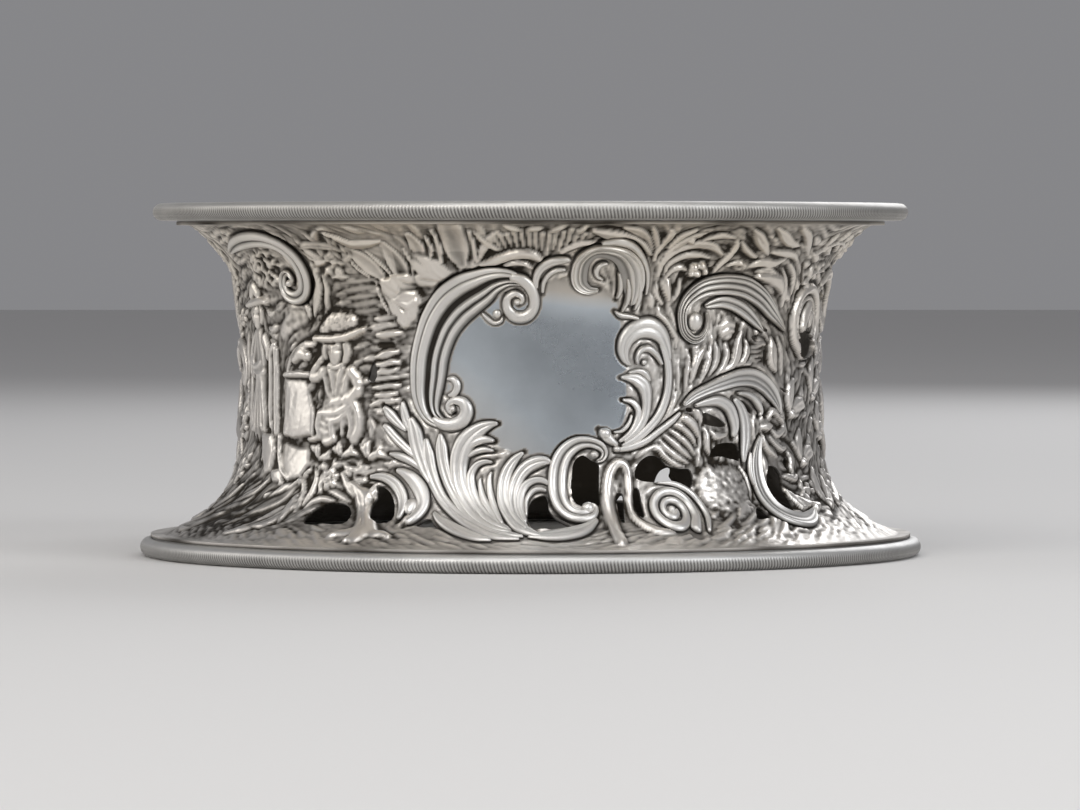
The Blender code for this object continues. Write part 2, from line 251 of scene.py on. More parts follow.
class Chasing:
    """Heights in millimetres over the half sheet, raised and sunk stroke by stroke.

    Each stroke also leaves its stain, which darkens or clears the oxide and in places paints shade or a
    highlight, or its polish, which on the plate also carries a painted reflection.
    """

    def __init__(self, levels):
        self.levels = levels
        self.around = (np.arange(HALF_COLUMNS) * 180 / HALF_COLUMNS - 90) * DEGREE
        self.pitch = self.around[1] - self.around[0]
        self.x, self.z = np.meshgrid(self.around, levels)
        self.height = np.zeros_like(self.x)
        self.stain = np.zeros_like(self.x)
        self.polish_and_reflection = np.zeros_like(self.x)
        self.drawn = []

    def cell(self, x, z):
        """The row and column of the sheet at a place in millimetres."""
        row = np.clip(np.searchsorted(self.levels, z), 0, len(self.levels) - 1)
        return row, np.rint((x - self.around[0]) / self.pitch).astype(int) % HALF_COLUMNS

    def windows(self, low, high):
        """The parts of the sheet between two corners, and how far each is moved round."""
        for shift in TURNS:
            columns = np.flatnonzero((self.around > low[0] + shift) & (self.around < high[0] + shift))
            rows = np.flatnonzero((self.levels > low[1]) & (self.levels < high[1]))
            if rows.size and columns.size:
                yield np.s_[rows[0]:rows[-1] + 1, columns[0]:columns[-1] + 1], shift

    def beside(self, line, reach):
        """Each window near a line, with its points' places along it, sides, half-widths and distances."""
        plan = line[:, :2]
        for at, shift in self.windows(plan.min(0) - reach, plan.max(0) + reach):
            x, z = self.x[at] - shift, self.z[at]
            best = np.full(x.shape, np.inf)
            place = np.zeros(x.shape)
            side = np.zeros(x.shape)
            for k, (a, b) in enumerate(zip(plan, plan[1:])):
                along = b - a
                t = np.clip(((x - a[0]) * along[0] + (z - a[1]) * along[1]) / (along @ along), 0, 1)
                dx, dz = x - a[0] - t * along[0], z - a[1] - t * along[1]
                distance = np.hypot(dx, dz)
                closer = distance < best
                best[closer] = distance[closer]
                place[closer] = k + t[closer]
                side[closer] = np.sign(along[0] * dz - along[1] * dx)[closer]
            yield at, place, side, np.interp(place, np.arange(len(line)), line[:, 2]), best

    def oval(self, degrees, level, across, up):
        """How far out of an oval's middle each point of the sheet lies: 1 is on the oval."""
        return np.hypot((self.x - degrees * DEGREE) / across, (self.z - level) / up)

    def cover(self, at, body, past, groove, stain=0.0, edge=EDGE):
        """A body laid on a window, given how far past its outline each point lies, with a groove round it."""
        inside = np.clip(0.5 - past / edge, 0, 1)
        ground = self.height[at] - groove * np.clip(1 - past / GROOVE, 0, 1) ** 2 * (past > 0)
        self.height[at] = ground + (body - ground) * inside
        self.stain[at] = self.stain[at] * (1 - inside) + stain * inside
        return inside

    def raise_bar(self, points, rise, face=rounded, level=0.0, groove=0.25, stain=0.0):
        """A bar of raised work along a line, with a chased groove round it."""
        line = smooth(points)
        self.drawn.append(line)
        widest = line[:, 2].max()
        step = hypot(*(line[1] - line[0])[:2])
        for at, place, side, width, distance in self.beside(line, widest + MARGIN):
            share = np.clip(distance / width, 0, 1) * side
            body = level + 0.8 * rise * (width / widest) ** 0.4 * face(share, place * step, width)
            self.cover(at, body, distance - width, groove, stain)

    def raise_bars(self, lines, rise, face=rounded, **ways):
        """Bars of one rise and one face."""
        for line in lines:
            self.raise_bar(line, rise, face, **ways)

    def raise_each(self, bars, face, **ways):
        """Bars of one face, each a line and its own rise."""
        for line, rise in bars:
            self.raise_bar(line, rise, face, **ways)

    def cut_line(self, points, depth):
        """A chased line: a groove of the points' half-widths."""
        line = smooth(points)
        for at, *_, width, distance in self.beside(line, line[:, 2].max() + GROOVE):
            self.height[at] -= depth * np.clip(1 - distance / (width + 0.25), 0, 1) ** 0.8

    def cut_lines(self, lines, depth):
        """Chased lines of one depth."""
        for line in lines:
            self.cut_line(line, depth)

    def sink_seat(self, points):
        """The band laid back under a mount, with a dark line left round it."""
        depth, plate_depth, fade = 0.2, 0.12, 0.5
        line = smooth(points)
        for at, *_, width, distance in self.beside(line, line[:, 2].max() + MARGIN):
            hold = np.clip((width + 0.1 + fade - distance) / fade, 0, 1)
            height = self.height[at]
            low = np.where(self.polish_and_reflection[at] > 0, height - plate_depth, np.minimum(height, -depth))
            self.height[at] = height * (1 - hold) + low * hold
            self.stain[at] = np.maximum(self.stain[at], 0.4 * hold)
            self.polish_and_reflection[at] *= np.clip(1 - 2.5 * hold, 0, 1)

    def dome(self, degrees, level, across, up, rise, turn=0.0, ground=0.0, groove=0.3):
        """A raised oval: a petal, a berry, a stone."""
        reach = max(across, up) + 0.8
        size = (across + up) / 2
        centre = np.array((degrees * DEGREE, level))
        c, s = cos(radians(turn)), sin(radians(turn))
        for at, shift in self.windows(centre - reach, centre + reach):
            dx, dz = self.x[at] - shift - centre[0], self.z[at] - centre[1]
            share = np.hypot((dx * c + dz * s) / across, (dz * c - dx * s) / up)
            body = ground + rise * rounded(np.clip(share, 0, 1), 0, size)
            self.cover(at, body, (share - 1) * size, groove)

    def facet(self, corners, rise, tilt=(0.0, 0.0), bulge=0.0, reach=1.5, groove=0.3, stain=0.0, polish_and_reflection=0.0):
        """A flat or leaning face with straight edges: a stone, a wall, a panel."""
        outline = np.array(corners, float) * (DEGREE, 1)
        middle = outline.mean(0)
        following = np.roll(outline, -1, 0)
        if np.sum(outline[:, 0] * following[:, 1] - following[:, 0] * outline[:, 1]) < 0:
            outline = outline[::-1]
        for at, shift in self.windows(outline.min(0) - 1, outline.max(0) + 1):
            x, z = self.x[at] - shift, self.z[at]
            depth = np.full(x.shape, np.inf)
            for a, b in zip(outline, np.roll(outline, -1, 0)):
                along = (b - a) / hypot(*(b - a))
                depth = np.minimum(depth, along[0] * (z - a[1]) - along[1] * (x - a[0]))
            body = rise + tilt[0] * (x - middle[0]) + tilt[1] * (z - middle[1])
            body = body + bulge * (1 - np.exp(-np.clip(depth, 0, None) / reach))
            inside = self.cover(at, body, -depth, groove, stain, FACET_EDGE)
            self.polish_and_reflection[at] = np.maximum(self.polish_and_reflection[at], polish_and_reflection * inside)

    def model(self, parts, groove=0.25, stain=0.0):
        """Full forms that melt into one another, as if modelled in wax: (line, rise) parts under one skin."""
        blend, skin, ditch, full = 4, 0.2, 0.8, 1.05
        total = np.zeros(self.height.shape)
        for points, rise in parts:
            line = smooth(points)
            self.drawn.append(line)
            for at, *_, width, distance in self.beside(line, line[:, 2].max() * 1.4 + MARGIN):
                total[at] += np.exp(np.clip(blend * rise * (1 - (distance / width) ** 2), -12, 12))
        form = np.log(np.clip(total, 1e-6, None)) / blend
        inside = np.clip(form / skin, 0, 1)
        ground = self.height - groove * np.clip(1 + form / ditch, 0, 1) ** 2 * (form < 0)
        self.height = ground + (full * np.clip(form, 0, None) ** 0.6 - ground) * inside
        self.stain = self.stain * (1 - inside) + stain * inside

    def stipple(self, degrees, level, across, up, depth, grain=0.6, seed=2, stain=0.0, tone=8):
        """Fine punched stippling inside a soft oval: small dents, dark at the bottom."""
        dents = depth * noise(self.height.shape, grain, seed)
        hold = np.clip((1 - self.oval(degrees, level, across, up)) * 4, 0, 1)
        self.height += hold * dents
        self.stain += hold * (stain - tone * dents)

    def swell(self, degrees, level, across, up, rise):
        """A soft swelling, or a dent, of the form that is there."""
        self.height += rise * np.clip(1 - self.oval(degrees, level, across, up) ** 2, 0, 1)

    def crags(self, degrees, level, across, up, rise, grain, seed):
        """Broken rock inside a soft oval: sharp crests between smooth hollows."""
        coarse = np.abs(noise(self.height.shape, grain, seed))
        fine = np.abs(noise(self.height.shape, grain / 2, seed + 50))
        hold = np.clip((1 - self.oval(degrees, level, across, up)) * 3, 0, 1)
        self.height += hold * (rise * np.clip(1.3 - coarse - 0.4 * fine, -0.4, 1.3) - self.height)

    def rosette(self, degrees, level, radius, petals, rise, turn=0.0):
        """A flower: petals round a domed eye."""
        middle, long, broad, eye = 0.58 * radius, 0.52 * radius, 0.4 * radius, 0.24 * radius
        for k in range(petals):
            way = radians(turn) + 2 * pi * k / petals
            self.dome(degrees + middle * cos(way) / DEGREE, level + middle * sin(way), long, broad,
                      rise * 0.8, turn=np.degrees(way), groove=0.2)
        self.dome(degrees, level, eye, eye, rise)

    def spray(self, root, tips, width, rise, face=leafy):
        """Leaves fanned from one root to the tips, each bowed to its side."""
        for k, tip in enumerate(tips):
            way = np.array(((tip[0] - root[0]) * DEGREE, tip[1] - root[1]))
            bow = np.array((-way[1], way[0])) * (0.18 if k % 2 else -0.18)
            points = []
            for share, wide in LEAF_SHAPE:
                at = way * share + bow * 4 * share * (1 - share)
                points.append((root[0] + at[0] / DEGREE, root[1] + at[1], width * wide))
            self.raise_bar(points, rise, face)

    def sprig(self, stem, leaves, length, width, rise):
        """A stem with leaves on alternate sides, smaller towards the one at its end."""
        line = smooth([(*at, 1) for at in stem])[:, :2]
        along = np.gradient(line, axis=0)
        for k in range(leaves + 1):
            share = (k + 0.4) / (leaves + 0.4)
            at = int(share * (len(line) - 1))
            way = along[at] / hypot(*along[at])
            turn = 0 if k == leaves else radians(70 - 25 * share) * (1 if k % 2 else -1)
            out = np.array((way[0] * cos(turn) - way[1] * sin(turn), way[0] * sin(turn) + way[1] * cos(turn)))
            size = 1 - 0.35 * share
            points = []
            for run, wide in LEAF_SHAPE:
                x, z = line[at] + size * length * run * ((1 - 0.25 * run) * out + 0.45 * run * way)
                points.append((x / DEGREE, z, size * width * wide))
            self.raise_bar(points, rise, leafy)
        self.raise_bar([(*at, 0.55 - 0.25 * k / len(stem)) for k, at in enumerate(stem)], rise, groove=0.15)


def flow_of(sheet, drawn):
    """The way the ornament runs at each place of the sheet, as an angle, taken from the lines near it."""
    lean = np.zeros(sheet.height.shape + (2,))
    for line in drawn:
        along = np.gradient(line[:, :2], axis=0)
        turn = 2 * np.arctan2(along[:, 1], along[:, 0])
        np.add.at(lean, sheet.cell(line[:, 0], line[:, 1]), np.column_stack([np.cos(turn), np.sin(turn)]))
    soft = sum(np.stack([blur(lean[..., k], width) for k in (0, 1)], -1) for width in (3, 8, 22))
    return np.arctan2(soft[..., 1], soft[..., 0]) / 2


def streaks(sheet, flow, seed, reach):
    """Fine hand-tooled streaks, drawn out along the flow to a reach in millimetres."""
    grain = noise(flow.shape, 0.8, seed)
    up = np.gradient(sheet.levels)
    total = np.zeros(flow.shape)
    for way in (1, -1):
        row, column = np.mgrid[:flow.shape[0], :flow.shape[1]].astype(float)
        last_x, last_z = way * np.cos(flow), way * np.sin(flow)
        for _ in range(int(reach / STREAK_STEP)):
            at = (np.clip(np.rint(row), 0, flow.shape[0] - 1).astype(int),
                  np.rint(column).astype(int) % flow.shape[1])
            total += grain[at]
            x, z = np.cos(flow[at]), np.sin(flow[at])
            keep = np.where(x * last_x + z * last_z < 0, -1, 1)
            last_x, last_z = x * keep, z * keep
            column += STREAK_STEP * last_x / sheet.pitch
            row += STREAK_STEP * last_z / up[at[0]]
    total -= blur(total, 4)
    return total / total.std()


def strew_leaves(sheet, flow, seed, spacing, rise):
    """Small leaves laid along the flow all over the sheet, under the drawn work."""
    rng = np.random.default_rng(seed)
    lowest, highest = 7.5, 81
    for level in np.arange(9, 82, spacing * 0.62):
        for x in np.arange(-90 * DEGREE, 90 * DEGREE, spacing):
            at = np.array((x, level)) + rng.uniform(-0.45, 0.45, 2) * spacing
            if at[1] < lowest or at[1] > highest:
                continue
            step = rng.uniform(0.7, 1.15) * spacing * 0.26
            wide = rng.uniform(0.7, 1.25)
            points, turn = [], None
            for share in (0.3, 0.85, 1, 0.65, 0.2):
                angle = flow[sheet.cell(*at)]
                way = np.array((cos(angle), sin(angle)))
                if turn is not None and way @ turn < 0 or turn is None and rng.random() < 0.5:
                    way = -way
                turn = way
                points.append((at[0] / DEGREE, at[1], wide * share))
                at = at + way * step
            sheet.raise_bar(points, rise * rng.uniform(0.7, 1.2), leafy, groove=0.2)


# The ornament of one half of the ring

# Each mount's bars: cross-section, rise and line
MOUNTS = {
    "cartouche_scroll": [
        (rounded, 2.1, [(-2.2, 63.5, 0.5), (-1.5, 64.2, 0.6), (-1.7, 65.4, 0.8), (-3, 66.1, 0.95),
                        (-4.3, 64.8, 1.1), (-4.3, 62.5, 1.3), (-3, 60.6, 1.6), (-1, 60.5, 1.6),
                        (0.4, 62.2, 1.45), (0.7, 64.8, 1.4), (0, 67.4, 1.5), (-1.6, 69.4, 1.5),
                        (-4, 70.4, 1)]),
        (scroll_reeds, 2.4, [(-0.4, 67.6, 0.4), (-1.8, 69, 1.3), (-4.2, 69.8, 2.3), (-7, 69.1, 3.5),
                             (-9.8, 67.2, 4.8), (-12.4, 65.3, 5.4), (-15, 62.6, 5.5), (-17.3, 58.6, 5.2),
                             (-18.8, 54, 4.9), (-19.6, 50, 4.8), (-19.9, 46, 4.6), (-20.1, 42, 4),
                             (-19.8, 38.8, 3.1), (-18.9, 36.5, 2.3), (-17.2, 35, 1.5), (-15.4, 34.4, 0.5)]),
        (rounded, 2.1, [(-19, 36.2, 0.8), (-17.2, 34.8, 1.5), (-14.9, 34.5, 1.8), (-12.9, 35.7, 1.9),
                        (-12.2, 37.8, 1.8), (-12.9, 39.8, 1.5), (-14.6, 40.3, 1.1), (-15.8, 39.1, 0.8),
                        (-15.5, 37.7, 0.7), (-14.7, 37.4, 0.5)]),
        (rounded, 1.4, [(-9.2, 61.6, 0.3), (-8.2, 60.2, 0.6), (-6.9, 59, 0.6), (-5.6, 59.4, 0.5),
                        (-5.2, 60.6, 0.3)]),
        (rounded, 1.5, [(-16.2, 45.4, 0.4), (-14.8, 45.4, 0.9), (-14, 43.8, 1), (-14.6, 42, 0.9),
                        (-16, 41.4, 0.4)])],
    "crest_link": [
        (lobe, 1.8, [(1.1, 67, 0.6), (1, 69.4, 0.9), (1.8, 71.9, 1.1), (3.6, 73.6, 1.2), (6, 74.2, 0.9),
                     (7.4, 74, 0.4)]),
        (rounded, 1.5, [(2.2, 66, 0.4), (2.4, 68.6, 0.6), (3.3, 70.6, 0.7), (4.8, 71.8, 0.7),
                        (6.6, 71.9, 0.4)])],
    "crest_scroll": [
        (crest_reeds, 2.2, [(12.8, 66.9, 0.4), (10.8, 66.9, 1.1), (9.2, 68.5, 1.9), (8.9, 71.4, 2.1),
                            (9.5, 74.2, 2), (11.4, 76.2, 1.7), (14.2, 76.2, 1.9), (16.8, 74.8, 2.5),
                            (18.5, 72, 3), (19.2, 68.8, 2.9), (19.3, 65.8, 2), (19, 63, 0.5)]),
        (rounded, 1.9, [(16.2, 71.4, 0.3), (16.7, 69, 0.6), (16.8, 66.8, 0.65), (16.2, 64.6, 0.3)]),
        (rounded, 2.2, [(18, 70, 0.3), (18.4, 67, 0.7), (18.2, 64, 0.65), (17.2, 61.4, 0.25)]),
        (rounded, 2.1, [(20.2, 70.4, 0.3), (20.6, 67.4, 0.65), (20.5, 64.4, 0.7), (19.6, 61.8, 0.3)]),
        (rounded, 2.0, [(12, 78.4, 0.4), (15, 78.8, 0.9), (17.8, 77.7, 0.9), (20, 75.2, 0.8), (21.5, 72, 0.7),
                        (22, 68.6, 0.6), (21.9, 65.5, 0.3)]),
        (rounded, 1.7, [(14.2, 73.4, 0.3), (12.9, 73.2, 0.6), (12, 71.8, 0.8), (12.3, 70.2, 0.6),
                        (13.6, 69.3, 0.3)])],
    "cartouche_leaf": [
        (lobe, 1.5, [(17.4, 29.2, 0.5), (20.4, 31, 1), (23.2, 33.8, 1.2), (25.4, 37, 1.2), (26.8, 41, 1.1),
                     (27.3, 45, 1.1), (27.1, 49, 1.1), (26.2, 52.6, 1), (25, 55, 0.5)]),
        (broad_lobe, 2.3, [(27.4, 49.6, 0.7), (26.7, 53.2, 1.5), (25.3, 56.2, 2.3), (22.9, 57.8, 2.8),
                           (20.3, 57.2, 2.5), (18.5, 55.2, 2.1), (17.8, 52.6, 1.7), (18.2, 50.2, 1.1),
                           (19.3, 48.5, 0.3)]),
        (rounded, 1.8, [(21, 59.9, 0.4), (18.9, 60.5, 0.7), (17.2, 60.8, 0.8), (15.9, 61.8, 0.3)]),
        (rounded, 1.9, [(20.7, 48.8, 0.4), (20.6, 50.8, 0.6), (21.5, 52.4, 0.8), (23, 52.7, 1),
                        (24.6, 51.2, 0.8), (25.9, 48.6, 0.4)]),
        (rounded, 1.5, [(21.4, 49, 0.4), (22.1, 49.4, 0.8), (22.7, 50, 0.3)]),
        (lobe, 2.2, [(17.8, 30.2, 0.5), (20.6, 33, 1), (22.2, 36.4, 1.2), (22.6, 40, 1.4), (22.2, 43.4, 1.9),
                     (20.6, 45.3, 1.7), (18.8, 45.8, 1), (17.2, 45.8, 0.3)]),
        (rounded, 1.6, [(23.4, 44.6, 0.4), (22.4, 46.6, 0.9), (20.8, 47.4, 0.7), (18.8, 46.9, 0.3)]),
        (lobe, 1.6, [(16.8, 30.2, 0.4), (19.4, 32.6, 0.9), (20.7, 35.4, 1), (20.9, 38, 0.9),
                     (19.7, 39.9, 0.8), (17.6, 40.5, 0.3)]),
        (rounded, 1.2, [(15.8, 32.6, 0.3), (17.6, 33, 0.5), (19, 34.8, 0.5), (19.6, 37, 0.3)]),
        (lobe, 1.5, [(16.4, 28.3, 0.6), (19.4, 29, 0.9), (22.4, 30.5, 0.9), (25.4, 33, 0.9), (28, 35.2, 0.8),
                     (30, 37.4, 0.4)]),
        (rounded, 1.9, [(16.8, 29.4, 0.5), (15.2, 30.8, 1.3), (14, 32.4, 1.5), (13, 33.4, 0.5)])],
    "base_scroll": [
        (twin_reeds, 2.3, [(12.3, 25.6, 0.4), (13.5, 26.2, 0.7), (14, 27.8, 0.9), (13.1, 29.4, 1.2),
                           (11, 30.3, 1.4), (8.6, 29.9, 1.8), (6.5, 27.8, 2.1), (5.3, 24.6, 2.3),
                           (4.9, 21, 2.3), (5, 17.6, 2.2), (5.7, 14.9, 2), (7, 13.2, 1.8), (8.8, 12.6, 1.6),
                           (10.6, 13, 1.4), (11.2, 14.4, 1), (10.2, 15.1, 0.6)]),
        (lobe, 1.5, [(-0.6, 8.1, 0.15), (3.5, 8.4, 1.1), (7, 9, 1.3), (9.6, 10.1, 1.1), (11.7, 12, 0.4)])],
    "base_acanthus": [
        (lobe, 1.5, [(-17.3, 13.5, 0.4), (-15.9, 11.9, 0.9), (-13.6, 10.3, 1.1), (-11, 8.9, 1),
                     (-8.5, 7.9, 0.7), (-6, 7.3, 0.15)]),
        (lobe, 1.7, [(-20.2, 31.4, 0.5), (-20, 27.6, 2), (-19.1, 23.4, 1.9), (-17.6, 19.4, 1.6),
                     (-15.8, 16.2, 1.4), (-13, 13.1, 1.3), (-10, 10.8, 1.3), (-6.5, 8.7, 1), (-4, 8, 0.6),
                     (-1.6, 7.6, 0.15)]),
        (lobe, 1.9, [(-17.3, 32.6, 0.4), (-17.1, 29.4, 1.6), (-16.7, 26, 1.7), (-16, 22.8, 1.6),
                     (-14.9, 19.6, 1.4), (-13, 16, 1.4), (-10.4, 12.4, 1.4), (-6.8, 9.8, 1.1),
                     (-3.6, 8.6, 0.6), (-1, 8.1, 0.15)]),
        (broad_lobe, 2.3, [(-3, 9, 0.6), (-6, 10.2, 1.3), (-8.8, 12.4, 1.7), (-11, 15.4, 2),
                           (-12.8, 19.4, 2.2), (-13.5, 23.6, 2.3), (-13.2, 27.6, 2.6), (-11.8, 31, 2.6),
                           (-9.6, 33.4, 1.9), (-7.4, 34.6, 1), (-6, 34.8, 0.3)]),
        (rounded, 1.9, [(-12, 28.4, 0.5), (-10.6, 30.2, 1.1), (-8.7, 31, 1.1), (-6.7, 30.6, 0.4)]),
        (rounded, 1.6, [(-11.9, 26.6, 0.4), (-10.4, 28, 0.8), (-8.6, 28.6, 0.8), (-6.8, 28.2, 0.3)]),
        (lobe, 2.0, [(-3.4, 9.4, 0.5), (-6, 11, 1.2), (-8, 13, 1.4), (-9.8, 16, 1.4), (-10.9, 19.6, 1.3),
                     (-11.1, 22.4, 1.1), (-10.2, 24.7, 0.9), (-8.7, 25.6, 0.7), (-7, 25.5, 0.3)]),
        (rounded, 1.7, [(-5, 9.9, 0.5), (-7, 13.6, 0.9), (-8.6, 17, 0.9), (-9.3, 20.4, 0.6),
                        (-9.2, 22, 0.3)]),
        (rounded, 1.8, [(-4.6, 10.4, 0.4), (-6.2, 14, 0.8), (-7.3, 18, 0.9), (-7.6, 21.4, 0.7),
                        (-7.2, 23.4, 0.3)])],
    "base_leaf": [
        (lobe, 2.0, [(2.2, 8, 0.15), (0.2, 8.9, 0.8), (-2.4, 10.8, 1.4), (-4.5, 15, 1.7), (-5, 19, 1.7),
                     (-4.4, 23, 1.6), (-3, 26, 1.2), (-1.2, 28, 0.4)]),
        (lobe, 2.3, [(-0.4, 9.4, 0.6), (-2.6, 13, 1.3), (-3.2, 17.6, 1.6), (-2.3, 21.6, 1.7),
                     (-0.8, 24.2, 1.8), (1.2, 25.5, 1.7), (3, 25.7, 1.2), (3.9, 25, 0.4)]),
        (lobe, 1.9, [(-0.8, 10.8, 0.6), (-1.8, 14.4, 1.1), (-1.8, 17.6, 1.2), (-0.8, 20.1, 1.1),
                     (0.9, 21.2, 0.9), (2.5, 21, 0.8), (3.6, 19.8, 0.3)]),
        (rounded, 1.3, [(-0.7, 12.6, 0.3), (-0.7, 16.4, 0.6), (0.4, 18.6, 0.7), (1.9, 19.1, 0.6),
                        (3.1, 18.4, 0.3)])],
    "spray_leaf": [
        (lobe, 2.0, [(-18.6, 20, 0.6), (-20.4, 24.4, 1.7), (-21.8, 29, 2), (-22.6, 33, 1.9),
                     (-23.4, 36.4, 0.6)]),
        (rounded, 1.5, [(-19.8, 22.8, 0.6), (-22.5, 25.2, 1), (-25.2, 26.7, 1.1), (-27.8, 27.4, 0.4)]),
        (lobe, 1.7, [(-20.6, 25.6, 0.6), (-23.6, 28.3, 1.1), (-26.2, 31, 1.2), (-28.3, 33.6, 1),
                     (-29.3, 34.4, 0.3)]),
        (lobe, 1.6, [(-22, 31, 0.5), (-23.9, 34.5, 1.2), (-24.8, 38, 1), (-25, 40.2, 0.3)]),
        (lobe, 1.5, [(-24, 32.8, 0.5), (-26.2, 35, 1.2), (-27.8, 36.9, 1.4), (-29.2, 38.9, 0.4)]),
        (rounded, 2.2, [(-26, 23.4, 0.6), (-24.4, 22.8, 1.2), (-22.4, 21.3, 1.8), (-20.6, 18.8, 2),
                        (-19.6, 16, 1.7), (-19.6, 13.8, 1.4), (-20.6, 11.9, 1.2), (-21.8, 10.8, 0.5)]),
        (lobe, 1.7, [(-31.6, 21.6, 0.5), (-28.6, 21.7, 1.2), (-26, 20.2, 1.5), (-24.2, 17.6, 1.5),
                     (-23.4, 14.8, 1.2), (-23.4, 11.6, 0.5)])],
    "hood_scroll": [
        (band_reeds, 2.3, [(35.3, 61.6, 0.4), (35.7, 59.4, 0.6), (35.4, 57, 0.8), (34.2, 55.2, 1),
                           (32.4, 54.9, 1.1), (30.6, 56.6, 1.1), (29.9, 59.4, 1.1), (30, 62.4, 1.3),
                           (31.4, 65.2, 1.8), (34, 67.3, 2.3), (37.4, 68.1, 2.5), (41, 68.1, 2.6),
                           (45, 67.2, 2.7), (49.5, 64.7, 2.6), (53.5, 61.2, 2.1), (58.4, 56.8, 0.5)]),
        (twin_reeds, 1.7, [(34.8, 62.8, 0.5), (36.4, 63.4, 1.1), (38.8, 63.9, 1.5), (41.6, 63.4, 1.7),
                           (45, 61.7, 1.8), (48.2, 59.2, 1.4), (51, 56.6, 0.4)])],
    "leaf_scroll": [
        (lobe, 1.4, [(42.8, 40.4, 0.6), (44.8, 38, 1.4), (45.9, 34.5, 1.8), (45.9, 30.5, 1.7),
                     (45.2, 27, 1.1), (44.8, 24.6, 0.4)]),
        (rolled, 2.0, [(30.5, 39, 0.6), (33, 41.2, 1.2), (36.5, 42.9, 1.5), (40, 44.2, 1.9), (44, 45.3, 2.2),
                       (48, 45.3, 2.4), (51.5, 43.8, 2.4), (54.4, 41.3, 2.1), (56.4, 38.6, 1.3),
                       (57.2, 36.4, 0.4)]),
        (lobe, 2.2, [(33, 38.8, 0.5), (36, 39.6, 1.1), (38.8, 39.8, 1.5), (41.2, 38.4, 1.7),
                     (42.5, 35.6, 1.6), (42.8, 33, 1.2), (42.2, 30.8, 0.4)]),
        (rounded, 1.9, [(43.8, 41.6, 0.4), (46, 41.4, 0.8), (48.2, 40.4, 1), (49.8, 38.6, 1),
                        (50.5, 36.9, 0.6), (50, 35.8, 0.3)])],
    "crescent_scroll": [
        (rounded, 1.5, [(46.9, 27.4, 0.3), (46.4, 24.6, 0.7), (46.2, 21.6, 0.7), (46.5, 18.6, 0.3)]),
        (rolled, 2.1, [(50.4, 31.2, 0.5), (49.1, 28.2, 1.2), (48.2, 24.5, 1.8), (47.9, 20, 2.1),
                       (48.3, 16, 2.2), (49.5, 12.9, 2.1), (51.9, 11, 1.8), (55, 10.4, 1.5),
                       (58.6, 11.2, 1.2), (62, 12.8, 0.4)])],
    "snail_scroll": [
        (rounded, 1.7, spiral((25.7, 13.6), -60, 5.6, 0.7, 2.25, 1.2, 0.7)),
        (rounded, 1.1, [(24, 20.4, 0.3), (27.6, 20, 0.7), (30.6, 18, 0.8), (32.2, 14.8, 0.8),
                        (32.2, 11.8, 0.7), (30.6, 8.8, 0.4)])],
    "corner_scroll": [
        (twin_reeds, 2.3, [(-51, 68.2, 0.5), (-50.7, 69.6, 0.6), (-51.7, 71, 0.8), (-53.2, 70.2, 1),
                           (-53.9, 67.8, 1.2), (-52.8, 65.6, 1.5), (-50.3, 64.9, 1.8), (-48, 66.2, 2.1),
                           (-47.1, 69.3, 2.2), (-47.4, 72.8, 2.2), (-48.5, 76, 2.1), (-50.6, 78.3, 2),
                           (-54, 79.3, 1.9), (-59, 79.1, 1.8), (-65, 78, 1.5), (-71, 76.2, 0.6)])],
}

# Each mount's beads: degrees, height, half-width across and up, rise
BEADS = {
    "cartouche_scroll": [(-2.5, 64.1, 0.9, 0.9, 1.7), (-14.8, 38.3, 0.8, 0.9, 1.7),
                         (-6.3, 61.2, 1.1, 1.1, 0.9)],
    "cartouche_leaf": [(14.2, 32.3, 1.6, 1.5, 1.7), (16.5, 28.6, 1.1, 0.8, 1.2)],
    "base_scroll": [(11.9, 27.3, 1.2, 1, 1.7), (10.2, 14.4, 1.5, 1.4, 1.8)],
    "spray_leaf": [(-21.8, 14.8, 1.7, 1.9, 1.2)],
    "hood_scroll": [(32.8, 59.2, 2, 2.5, 1.9)],
    "snail_scroll": [(25.6, 13.6, 0.9, 0.9, 1.5)],
    "corner_scroll": [(-51.5, 68.5, 0.9, 1, 1.7)],
}

